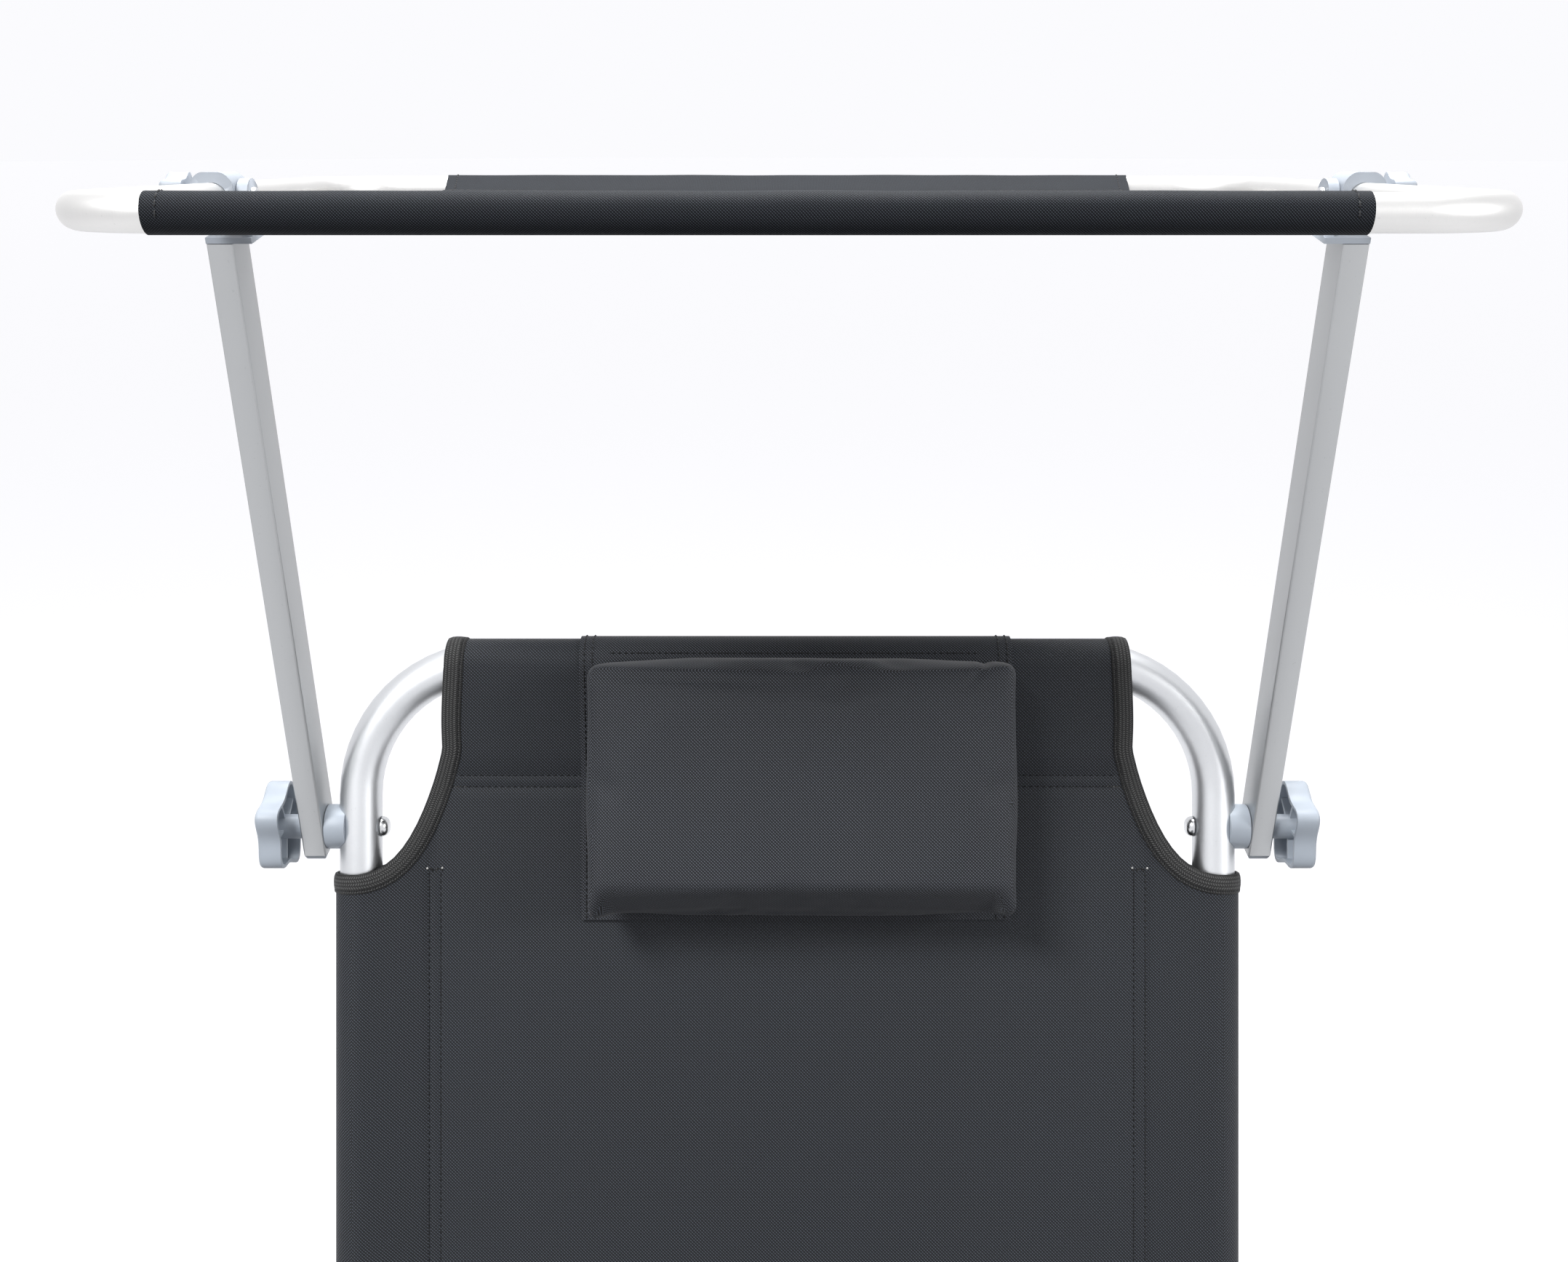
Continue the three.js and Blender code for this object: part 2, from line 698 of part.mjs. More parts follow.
// The backrest section with its pillow and the pivots for the canopy arms.
function backrestSection() {
  const group = new THREE.Group();
  const holes = [
    crossHole(boltDiameter, pivotPlace, -hingeRise),
    crossHole(rivetDiameter, headLegPlace, -hingeRise),
  ];
  group.add(piece('backrest_frame', joinAndCut([frameBow(backrestLength)], holes), aluminium));
  group.add(piece('backrest_cloth', sectionCloth(backrestLength, headLegPlace), blackCloth));
  group.add(...platePair('backrest', 1));
  group.add(...legRivets('head', headLegPlace, -hingeRise));

  const pillow = pillowGeometry();
  const pillowBack = -hingeRise + sleeveRadius + runGap + flapThickness + runGap;
  pillow.translate(pillowShift, backrestLength - pillowTop - pillowHeight / 2, pillowBack + pillowDepth / 2);
  group.add(piece('head_pillow', pillow, blackCloth));
  group.add(piece('pillow_flap', flapGeometry(), blackCloth));

  const boltStart = sideTubeX - frameRadius - seatGap;
  const boltEnd = armOuterX + armKnobStandoff + armKnobRim - knobFace - runGap;
  const boltLength = boltEnd - boltStart;
  const bolt = headedPin(
    boltStart, boltLength, boltDiameter, boltHead, boltHeadHeight, pivotPlace, -hingeRise);
  const spacer = saddleSpacer();
  spacer.translate(0, pivotPlace, -hingeRise);
  const knob = armKnobGeometry();
  knob.translate(0, pivotPlace, -hingeRise);
  for (const side of sides) {
    group.add(piece('arm_bolt_' + side.word, toSide(bolt, side.sign), zincSteel));
    group.add(piece('arm_spacer_' + side.word, toSide(spacer, side.sign), greyPlastic));
    group.add(piece('arm_knob_' + side.word, toSide(knob, side.sign), greyPlastic));
  }
  return group;
}

// A canopy arm: a flat rectangular tube along +Y from just below its pivot.
function armTube() {
  const halfDepth = armDepth / 2;
  const start = armCap - armFoot;
  const end = armReach - armTopGap;
  const outer = block(armInnerX, armOuterX, start, end, -halfDepth, halfDepth);
  const bore = block(armInnerX + armWall, armOuterX - armWall, start - overrun, end + overrun,
    armWall - halfDepth, halfDepth - armWall);
  const hole = rodAlongX(
    boltDiameter / 2 + pinPlay, armInnerX - overrun, armWidth + 2 * overrun, 0, 0, smallSides);
  return joinAndCut([outer], [bore, hole]);
}

// The plastic cap that closes an arm's lower end, with its edges cut back.
function armFootCap() {
  const halfDepth = armDepth / 2;
  const plug = armWall + seatGap;
  const top = armCap - armFoot - seatGap;
  const cap = block(armInnerX, armOuterX, -armFoot, top, -halfDepth, halfDepth);
  const plugStart = -armFoot + armCap / 2;
  const plugEnd = -armFoot + armCap + footPlug;
  const tongue = block(
    armInnerX + plug, armOuterX - plug, plugStart, plugEnd, plug - halfDepth, halfDepth - plug);
  return joinAndCut([cap, tongue]);
}

// The plastic end of an arm's upper end: a plug, a cap, and a round ear inside the clip for the canopy bolt.
function armTopEar() {
  const halfDepth = armDepth / 2;
  const plug = armWall + seatGap;
  const tubeEnd = armReach - armTopGap;
  const capStart = tubeEnd + seatGap;
  const capEnd = capStart + armCap;
  const earOuter = canopyTubeX - canopyRadius - clipSide - runGap;
  const earInner = earOuter - earThickness;
  const cap = block(earInner, armOuterX, capStart, capEnd, -halfDepth, halfDepth);
  const plugStart = tubeEnd - armPlug;
  const plugEnd = capEnd - armCap / 2;
  const tongue = block(
    armInnerX + plug, armOuterX - plug, plugStart, plugEnd, plug - halfDepth, halfDepth - plug);
  const neck = block(earInner, earOuter, capStart, armReach, -earRadius, earRadius);
  const ear = rodAlongX(earRadius, earInner, earThickness, armReach, 0, discSides);
  const hole = rodAlongX(
    canopyBolt / 2 + pinPlay, earInner - overrun, earThickness + 2 * overrun, armReach, 0, smallSides);
  return joinAndCut([cap, tongue, neck, ear], [hole]);
}

// The two arms with their end pieces.
function armsGroup() {
  const group = new THREE.Group();
  for (const side of sides) {
    group.add(piece('canopy_arm_' + side.word, toSide(armTube(), side.sign), aluminium));
    group.add(piece('arm_foot_cap_' + side.word, toSide(armFootCap(), side.sign), greyPlastic));
    group.add(piece('arm_top_ear_' + side.word, toSide(armTopEar(), side.sign), greyPlastic));
  }
  return group;
}

// One half of the canopy's tube loop, from the clips to its bar.
function canopyBow(startY, barY) {
  const stations = bowStations(canopyTubeX, startY, barY, canopyBend, canopyBendSteps);
  const section = tubeSection(canopyRadius, canopyRadius - canopyWall, tubeSides, boreSides);
  const tube = sweep(section, stations);
  const reach = canopyTubeX + canopyTube;
  return joinAndCut([tube], [rodAlongX(canopyBolt / 2 + pinPlay, -reach, 2 * reach, 0, 0, smallSides)]);
}

// The canopy's cloth: a sleeve round each bar and a sheet between them that sags a little.
function canopyClothGeometry() {
  const bore = canopyRadius + sleeveGap;
  const section = tubeSection(bore + canopyCloth, bore, tubeSides, tubeSides);
  const frontHalf = canopyFrontSleeve / 2;
  const rearHalf = canopyRearSleeve / 2;
  const frontBar = [new THREE.Vector3(-frontHalf, -canopyFront, 0), new THREE.Vector3(frontHalf, -canopyFront, 0)];
  const rearBar = [new THREE.Vector3(-rearHalf, canopyRear, 0), new THREE.Vector3(rearHalf, canopyRear, 0)];
  const startY = bore + canopyCloth / 2 - canopyFront;
  const endY = canopyRear - bore - canopyCloth / 2;
  const sheet = new THREE.BoxGeometry(1, 1, 1, canopyColumns, canopyRows, 1);
  const position = sheet.attributes.position;
  for (let i = 0; i < position.count; i += 1) {
    const along = position.getY(i) + 0.5;
    const across = 2 * position.getX(i);
    const belly = 4 * along * (1 - along);
    const half = frontHalf + (rearHalf - frontHalf) * along - canopyHemPull * belly;
    const sag = canopySag * belly * (1 - canopyCrossSagShare * across * across);
    position.setXYZ(i, across * half, startY + (endY - startY) * along, position.getZ(i) * canopyCloth - sag);
  }
  return joinAndCut([sheet, sweep(section, frontBar), sweep(section, rearBar)]);
}

// A clip that straddles a side tube of the canopy: an arch over the tube with two straight cheeks.
function clipGeometry() {
  const outline = new THREE.Shape();
  const side = canopyRadius + clipSide;
  const bore = canopyRadius + seatGap;
  const shoulder = canopyRadius + clipTop;
  outline.moveTo(side, -clipSkirt);
  outline.lineTo(side, shoulder / 2);
  outline.lineTo(side * clipCrownShare, shoulder);
  outline.lineTo(-side * clipCrownShare, shoulder);
  outline.lineTo(-side, shoulder / 2);
  outline.lineTo(-side, -clipSkirt);
  outline.lineTo(-bore, -clipSkirt);
  outline.absarc(0, 0, bore, Math.PI, 0, true);
  outline.lineTo(bore, -clipSkirt);
  outline.closePath();
  const options = { depth: clipLength, bevelEnabled: false, curveSegments: smallSides };
  const geometry = new THREE.ExtrudeGeometry(outline, options);
  geometry.rotateX(Math.PI / 2);
  geometry.translate(canopyTubeX, clipLength / 2, 0);
  const hole = rodAlongX(
    canopyBolt / 2 + pinPlay, canopyTubeX - frameTube, 2 * frameTube, 0, 0, smallSides);
  return joinAndCut([geometry], [hole]);
}

// The small solid knob of a canopy clip.
function canopyKnobGeometry() {
  const stemStart = canopyTubeX + canopyRadius + clipSide + seatGap;
  const rimStart = canopyTubeX + canopyRadius + clipSide + canopyKnobStandoff;
  const rim = plateAcrossX(lobedOutline(canopyKnob / 2, canopyKnobLobe, 0), rimStart, canopyKnobRim);
  const stemLength = rimStart - stemStart + canopyKnobRim / 2;
  const stem = rodAlongX(canopyKnobStem / 2, stemStart, stemLength, 0, 0, discSides);
  const hole = rodAlongX(
    canopyBolt / 2 + pinPlay, stemStart - overrun, stemLength + overrun, 0, 0, smallSides);
  return joinAndCut([rim, stem], [hole]);
}

// The canopy: two tube bows joined under the clips, the cloth, and the bolts and knobs that hold the tilt.
function canopyGroup() {
  const group = new THREE.Group();
  const joint = clipLength / 2 - seatGap;
  group.add(piece('canopy_front_bow', canopyBow(joint, -canopyFront), aluminium));
  group.add(piece('canopy_rear_bow', canopyBow(joint + seatGap, canopyRear), aluminium));
  group.add(piece('canopy_cloth', canopyClothGeometry(), blackCloth));
  const earInner = canopyTubeX - canopyRadius - clipSide - runGap - earThickness;
  const boltStart = earInner - seatGap;
  const rimStart = canopyTubeX + canopyRadius + clipSide + canopyKnobStandoff;
  const boltLength = rimStart + canopyKnobRim / 2 - runGap - boltStart;
  const bolt = headedPin(boltStart, boltLength, canopyBolt, canopyBoltHead, canopyBoltHeadHeight, 0, 0);
  for (const side of sides) {
    group.add(piece('canopy_clip_' + side.word, toSide(clipGeometry(), side.sign), greyPlastic));
    group.add(piece('canopy_bolt_' + side.word, toSide(bolt, side.sign), zincSteel));
    group.add(piece('canopy_knob_' + side.word, toSide(canopyKnobGeometry(), side.sign), greyPlastic));
  }
  return group;
}

const radians = THREE.MathUtils.degToRad;
const lounger = new THREE.Group();
lounger.add(seatSection());

const backrest = backrestSection();
backrest.rotation.x = radians(backrestAngle);
lounger.add(backrest);

const arms = armsGroup();
arms.position.set(0, pivotPlace, -hingeRise);
arms.rotation.x = radians(armLean);
backrest.add(arms);

const canopy = canopyGroup();
canopy.position.set(0, armReach, 0);
canopy.rotation.x = radians(-backrestAngle - armLean - canopyDroop);
arms.add(canopy);

const openAngle = radians(legSlant - 90);
const headLeg = legGroup('head', openAngle);
const stowDrop = frameRadius + sleeveGap + clothThickness + legRadius + glideWall + legStowLift;
headLeg.position.set(0, headLegPlace, -hingeRise);
headLeg.rotation.x = Math.PI + Math.asin(stowDrop / legLength);
backrest.add(headLeg);

const middleLeg = legGroup('middle', openAngle);
middleLeg.position.set(0, -legSetback, -hingeRise);
middleLeg.rotation.x = openAngle;
lounger.add(middleLeg);

// The foot section is the backrest's frame at its own length, turned to point the other way.
const foot = new THREE.Group();
const footRivetHole = crossHole(rivetDiameter, footLegPlace, -hingeRise);
foot.add(piece('foot_frame', joinAndCut([frameBow(footLength)], [footRivetHole]), aluminium));
foot.add(piece('foot_cloth', sectionCloth(footLength, footLegPlace), blackCloth));
foot.add(...platePair('foot', 1));
foot.add(...legRivets('foot', footLegPlace, -hingeRise));
foot.position.set(0, -seatLength, 0);
foot.rotation.z = Math.PI;
lounger.add(foot);

const footLeg = legGroup('foot', openAngle);
footLeg.position.set(0, footLegPlace, -hingeRise);
footLeg.rotation.x = openAngle;
foot.add(footLeg);

// The origin is on the floor, under the middle of the whole.
lounger.updateMatrixWorld(true);
const bounds = new THREE.Box3().setFromObject(lounger, true);
const centre = bounds.getCenter(new THREE.Vector3());
lounger.position.set(-centre.x, -centre.y, -bounds.min.z);

export default lounger;
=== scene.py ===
"""A folding sun lounger with a canopy, dressed round its packed frame.

Left is -X, the foot end points to -Y and the head end to +Y. Each section is modelled lying flat, with its
hinge axis as its own X axis, and is then put in its place at rest.
"""

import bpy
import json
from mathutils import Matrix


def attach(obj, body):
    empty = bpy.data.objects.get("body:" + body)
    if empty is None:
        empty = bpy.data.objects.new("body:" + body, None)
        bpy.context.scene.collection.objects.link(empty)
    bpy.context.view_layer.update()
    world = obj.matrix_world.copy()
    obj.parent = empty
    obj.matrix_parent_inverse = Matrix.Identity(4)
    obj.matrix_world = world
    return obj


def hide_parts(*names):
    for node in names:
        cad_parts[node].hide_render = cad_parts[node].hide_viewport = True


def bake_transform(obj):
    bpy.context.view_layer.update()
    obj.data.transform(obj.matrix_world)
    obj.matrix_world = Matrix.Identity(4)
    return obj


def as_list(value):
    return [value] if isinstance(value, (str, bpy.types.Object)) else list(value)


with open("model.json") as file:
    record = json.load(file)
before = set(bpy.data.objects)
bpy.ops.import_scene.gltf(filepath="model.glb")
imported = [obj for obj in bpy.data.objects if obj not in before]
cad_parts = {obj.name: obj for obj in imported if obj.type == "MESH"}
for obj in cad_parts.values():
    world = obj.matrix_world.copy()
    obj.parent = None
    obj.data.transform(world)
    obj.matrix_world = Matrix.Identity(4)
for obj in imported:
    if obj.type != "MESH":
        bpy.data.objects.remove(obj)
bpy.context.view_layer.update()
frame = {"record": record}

import json
import logging
import math
from dataclasses import dataclass, field
from enum import Enum
from typing import Callable, Iterable, Sequence

import bmesh
import bpy
from mathutils import Matrix, Vector, noise

log = logging.getLogger("lounger")

Piece = bpy.types.Object
Material = bpy.types.Material
Triple = tuple[float, float, float]

MM = 0.001
QUARTER = math.pi / 2
FULL_TURN = 2 * math.pi
TUBE_SIDES = 48
BEND_STEPS = 14
RIGHT = Vector((1, 0, 0))
AHEAD = Vector((0, 1, 0))
UP = Vector((0, 0, 1))
UNTURNED = Matrix.Identity(4)
ABOUT = Matrix.Rotation(math.pi, 4, "Z")


class Side(Enum):
    """The two sides of the lounger."""

    LEFT = -1
    RIGHT = 1

    @property
    def word(self) -> str:
        """The word that names a piece of this side."""
        return self.name.lower()


class Place(Enum):
    """The frames that pieces are modelled in, named by the joint that carries them."""

    SEAT = "backrest_recline"
    FOOT = "foot_section_fold"
    BACKREST = "backrest"
    ARMS = "canopy_arm_swing"
    CANOPY = "canopy_tilt"
    HEAD_LEG = "head_leg_fold"
    MIDDLE_LEG = "middle_leg_fold"
    FOOT_LEG = "foot_leg_fold"


@dataclass(frozen=True)
class Sizes:
    """Shared sizes of the frame, in metres, as the packed solids have them."""

    frame_width: float = 540 * MM
    tube: float = 12.5 * MM
    wall: float = 1.5 * MM
    bend: float = 80 * MM
    backrest: float = 700 * MM
    seat: float = 520 * MM
    foot: float = 660 * MM
    rise: float = 16 * MM
    gap: float = 0.3 * MM
    backrest_angle: float = math.radians(72)
    arm_lean: float = math.radians(26)
    droop: float = math.radians(1)
    leg_slant: float = math.radians(14)
    leg_tube: float = 10 * MM
    leg_wall: float = 1.2 * MM
    leg_bend: float = 55 * MM
    leg_x: float = 282.8 * MM
    stow_drop: float = 29.3 * MM
    tube_height: float = 287.5 * MM
    glide_sole: float = 2 * MM
    pivot: float = 588 * MM
    arm_inner: float = 277 * MM
    arm_width: float = 13.5 * MM
    arm_depth: float = 25 * MM
    arm_reach: float = 372.5 * MM
    canopy_x: float = 284 * MM
    canopy_tube: float = 7.5 * MM
    canopy_bend: float = 45 * MM
    canopy_front: float = 203 * MM
    canopy_rear: float = 207 * MM

    @property
    def side_x(self) -> float:
        """How far a side tube's centre line stands from the middle."""
        return self.frame_width / 2 - self.tube

    @property
    def leg_length(self) -> float:
        """Length of a leg from its rivets to the centre of its foot bar."""
        drop = self.tube_height - self.leg_tube - self.glide_sole
        return drop / math.cos(self.leg_slant)


SIZES = Sizes()


def tip(angle: float) -> Matrix:
    """Gives a turn about the lounger's cross axis."""
    return Matrix.Rotation(angle, 4, "X")


def place_matrix(place: Place) -> Matrix:
    """Gives the frame that a group of pieces is modelled in.

    Args:
        place: Which group.

    Returns:
        The matrix from the group's own frame to the lounger's.
    """
    joints = {joint["name"]: joint["pos_m"] for joint in frame["record"]["behaviour"]["joints"]}
    name = Place.SEAT.value if place is Place.BACKREST else place.value
    at = Matrix.Translation(Vector(joints[name]))
    open_leg = tip(SIZES.leg_slant - QUARTER)
    stowed = SIZES.backrest_angle + math.pi + math.asin(SIZES.stow_drop / SIZES.leg_length)
    turns = {
        Place.SEAT: UNTURNED,
        Place.FOOT: ABOUT,
        Place.BACKREST: tip(SIZES.backrest_angle),
        Place.ARMS: tip(SIZES.backrest_angle + SIZES.arm_lean),
        Place.CANOPY: tip(-SIZES.droop),
        Place.HEAD_LEG: tip(stowed),
        Place.MIDDLE_LEG: open_leg,
        Place.FOOT_LEG: ABOUT @ open_leg,
    }
    return at @ turns[place]


class Bench:
    """Modelling moves with Blender's own tools, as made by hand."""

    @staticmethod
    def clear() -> None:
        """Leaves edit mode and deselects everything."""
        if bpy.context.object and bpy.context.object.mode != "OBJECT":
            bpy.ops.object.mode_set(mode="OBJECT")
        bpy.ops.object.select_all(action="DESELECT")

    @classmethod
    def fresh(cls, primitive: Callable, name: str, **settings) -> Piece:
        """Adds a primitive.

        Args:
            primitive: The operator that adds it.
            name: Name of the new object.
            settings: The operator's settings.

        Returns:
            The new object, with its place in its mesh.
        """
        cls.clear()
        primitive(**settings)
        made = bpy.context.object
        made.name = name
        made.data.name = name
        made.data.transform(made.matrix_world)
        made.matrix_world = UNTURNED
        return made

    @classmethod
    def only(cls, piece: Piece) -> None:
        """Selects one object and makes it the active one.

        Args:
            piece: The object.
        """
        cls.clear()
        piece.select_set(True)
        bpy.context.view_layer.objects.active = piece

    @classmethod
    def edit(cls, piece: Piece, mode: str = "FACE") -> bmesh.types.BMesh:
        """Opens a piece in edit mode with nothing selected.

        Args:
            piece: The piece.
            mode: Kind of element to select, VERT, EDGE or FACE.

        Returns:
            The edit mesh.
        """
        cls.only(piece)
        bpy.ops.object.mode_set(mode="EDIT")
        bpy.ops.mesh.select_mode(type=mode)
        bpy.ops.mesh.select_all(action="DESELECT")
        return bmesh.from_edit_mesh(piece.data)

    @classmethod
    def pick(cls, piece: Piece, test: Callable[[object], bool], mode: str = "FACE") -> None:
        """Selects the elements of a piece in edit mode that pass a test.

        Args:
            piece: The piece, which is opened in edit mode.
            test: Says of a face, edge or vertex whether it is wanted.
            mode: Kind of element, VERT, EDGE or FACE.
        """
        mesh = cls.edit(piece, mode)
        elements = {"VERT": mesh.verts, "EDGE": mesh.edges, "FACE": mesh.faces}[mode]
        mesh.normal_update()
        for element in elements:
            if test(element):
                element.select_set(True)
        mesh.select_flush_mode()
        bmesh.update_edit_mesh(piece.data)

    @classmethod
    def modify(cls, piece: Piece, kind: str, **settings) -> Piece:
        """Adds a modifier and applies it.

        Args:
            piece: The piece.
            kind: Kind of modifier.
            settings: Its settings.

        Returns:
            The same piece.
        """
        cls.only(piece)
        modifier = piece.modifiers.new(kind.title(), kind)
        for key, value in settings.items():
            setattr(modifier, key, value)
        bpy.ops.object.modifier_apply(modifier=modifier.name)
        return piece

    @classmethod
    def combine(cls, piece: Piece, tools: Iterable[Piece],
                operation: str) -> Piece:
        """Joins other solids to a piece, or cuts them from it, and removes them.

        Args:
            piece: The piece.
            tools: The other solids.
            operation: UNION, DIFFERENCE or INTERSECT.

        Returns:
            The same piece.
        """
        for tool in tools:
            cls.modify(piece, "BOOLEAN", object=tool, operation=operation, solver="EXACT")
            cls.discard(tool)
        return piece

    @staticmethod
    def discard(*pieces: Piece) -> None:
        """Removes solids that have served their use."""
        for piece in pieces:
            bpy.data.objects.remove(piece, do_unlink=True)

    @classmethod
    def round_edges(cls, piece: Piece, width: float, segments: int = 2,
                    angle: float = 35) -> Piece:
        """Rounds a piece's sharp edges and smooths its faces.

        Args:
            piece: The piece.
            width: Width of the rounding.
            segments: Facets across it.
            angle: Edges sharper than this many degrees are rounded.

        Returns:
            The same piece.
        """
        cls.modify(piece, "BEVEL", width=width, segments=segments, limit_method="ANGLE",
                   angle_limit=math.radians(angle), miter_outer="MITER_ARC", use_clamp_overlap=True)
        return cls.smooth(piece)

    @classmethod
    def smooth(cls, piece: Piece, angle: float = 40) -> Piece:
        """Shades a piece smooth, but for edges sharper than the angle in degrees.

        Args:
            piece: The piece.
            angle: The angle.

        Returns:
            The same piece.
        """
        cls.only(piece)
        bpy.ops.object.shade_smooth_by_angle(angle=math.radians(angle))
        return piece

    @classmethod
    def merge(cls, piece: Piece, distance: float = 1e-6, outward: bool = True) -> Piece:
        """Merges a piece's doubles and turns its faces outwards.

        Args:
            piece: The piece.
            distance: How near two points are to count as doubles.
            outward: Whether the faces are turned.

        Returns:
            The same piece.
        """
        cls.edit(piece, "VERT")
        bpy.ops.mesh.select_all(action="SELECT")
        bpy.ops.mesh.remove_doubles(threshold=distance)
        if outward:
            bpy.ops.mesh.normals_make_consistent(inside=False)
        cls.clear()
        return piece

    @classmethod
    def rod(cls, name: str, radius: float, start: Sequence[float], length: float,
            axis: Vector = RIGHT, sides: int = 48) -> Piece:
        """Makes a cylinder.

        Args:
            name: Its name.
            radius: Its radius.
            start: Centre of its first end.
            length: Its length along the axis.
            axis: Its direction.
            sides: Facets round it.

        Returns:
            The cylinder.
        """
        turn = UP.rotation_difference(axis).to_euler()
        middle = Vector(start) + axis * length / 2
        return cls.fresh(bpy.ops.mesh.primitive_cylinder_add, name, vertices=sides, radius=radius,
                         depth=length, location=middle, rotation=turn)

    @classmethod
    def block(cls, name: str, low: Sequence[float], high: Sequence[float]) -> Piece:
        """Makes a box between two corners.

        Args:
            name: Its name.
            low: Its lowest corner.
            high: Its highest corner.

        Returns:
            The box.
        """
        low, high = Vector(low), Vector(high)
        return cls.fresh(bpy.ops.mesh.primitive_cube_add, name, size=1, location=(low + high) / 2,
                         scale=high - low)

    @staticmethod
    def copy(piece: Piece, name: str, matrix: Matrix = UNTURNED) -> Piece:
        """Copies a piece with its own mesh to another place.

        Args:
            piece: The piece.
            name: Name of the copy.
            matrix: Where the copy goes. A mirroring matrix has its faces turned back.

        Returns:
            The copy.
        """
        made = piece.copy()
        made.data = piece.data.copy()
        made.name = name
        made.data.name = name
        bpy.context.collection.objects.link(made)
        made.data.transform(matrix)
        if matrix.determinant() < 0:
            made.data.flip_normals()
        return made


@dataclass(frozen=True)
class Turn:
    """A bend of tube in the XY plane, round a centre."""

    centre: Triple
    angle: float


def tube(name: str, radius: float, wall: float, start: Triple, heading: Triple,
         route: Sequence[Triple | Turn]) -> Piece:
    """Extrudes a ring along straight runs, spins it round the bends and gives it its wall.

    Args:
        name: The tube's name.
        radius: Its outer radius.
        wall: Its wall.
        start: Where it starts.
        heading: The way it first runs.
        route: Its straight runs and bends, in order.

    Returns:
        The tube.
    """
    turn = UP.rotation_difference(Vector(heading)).to_euler()
    piece = Bench.fresh(bpy.ops.mesh.primitive_circle_add, name, vertices=TUBE_SIDES, radius=radius,
                        location=start, rotation=turn)
    Bench.edit(piece, "VERT")
    bpy.ops.mesh.select_all(action="SELECT")
    for leg in route:
        if isinstance(leg, Turn):
            bpy.ops.mesh.spin(steps=BEND_STEPS, angle=leg.angle, center=leg.centre, axis=UP)
        else:
            bpy.ops.mesh.extrude_region_move(TRANSFORM_OT_translate={"value": leg})
    Bench.merge(piece)
    Bench.modify(piece, "SOLIDIFY", thickness=wall, offset=-1, use_even_offset=True)
    return Bench.smooth(piece, 50)


def bow(name: str, side_x: float, start_y: float, bar_y: float, bend: float, radius: float,
        wall: float) -> Piece:
    """Bends a U of tube in the XY plane: up the left side, over the bar, down the right side.

    Args:
        name: Its name.
        side_x: How far the sides stand from the middle.
        start_y: Where both sides start.
        bar_y: Where the bar lies.
        bend: Radius of the bends.
        radius: Radius of the tube.
        wall: Wall of the tube.

    Returns:
        The tube.
    """
    way = 1 if bar_y > start_y else -1
    straight = bar_y - start_y - way * bend
    corner = bar_y - way * bend
    route = [
        (0, straight, 0),
        Turn((bend - side_x, corner, 0), way * QUARTER),
        (2 * (side_x - bend), 0, 0),
        Turn((side_x - bend, corner, 0), way * QUARTER),
        (0, -straight, 0),
    ]
    return tube(name, radius, wall, (-side_x, start_y, 0), (0, way, 0), route)


def operator(operation: str, meaning: str, turned: bool = False) -> Callable[..., "Signal"]:
    """Makes a method that adds a Math node.

    Args:
        operation: The node's operation.
        meaning: What the method does.
        turned: Whether the other value comes first.

    Returns:
        The method.
    """
    def method(self: "Signal", other: object = None) -> "Signal":
        """Adds the node.

        Args:
            other: A number or another signal, where the node takes one.

        Returns:
            The node's result.
        """
        made = self.tree.nodes.new("ShaderNodeMath")
        made.operation = operation
        for place, value in enumerate((other, self) if turned else (self, other)):
            if isinstance(value, Signal):
                self.tree.links.new(value.socket, made.inputs[place])
            elif value is not None:
                made.inputs[place].default_value = value
        return Signal(self.tree, made.outputs[0])
    method.__doc__ = meaning
    return method


class Signal:
    """A value or colour in a node tree that Python arithmetic extends with nodes."""

    def __init__(self, tree: bpy.types.NodeTree, socket: bpy.types.NodeSocket) -> None:
        """Wraps one output socket."""
        self.tree = tree
        self.socket = socket

    __add__ = __radd__ = operator("ADD", "Adds.")
    __sub__ = operator("SUBTRACT", "Subtracts.")
    __rsub__ = operator("SUBTRACT", "Subtracts this from a number.", True)
    __mul__ = __rmul__ = operator("MULTIPLY", "Multiplies.")
    __truediv__ = operator("DIVIDE", "Divides.")
    __pow__ = operator("POWER", "Raises to a power.")
    __gt__ = operator("GREATER_THAN", "Gives 1 where this is larger.")
    __abs__ = operator("ABSOLUTE", "Drops the sign.")
    sine = operator("SINE", "Takes the sine.")
    fraction = operator("FRACT", "Keeps what is after the decimal point.")
    floor = operator("FLOOR", "Rounds down.")
    most = operator("MAXIMUM", "Takes the larger of two.")
    least = operator("MINIMUM", "Takes the smaller of two.")

    def clamp(self) -> "Signal":
        """Keeps the value between 0 and 1."""
        return self.most(0.0).least(1.0)


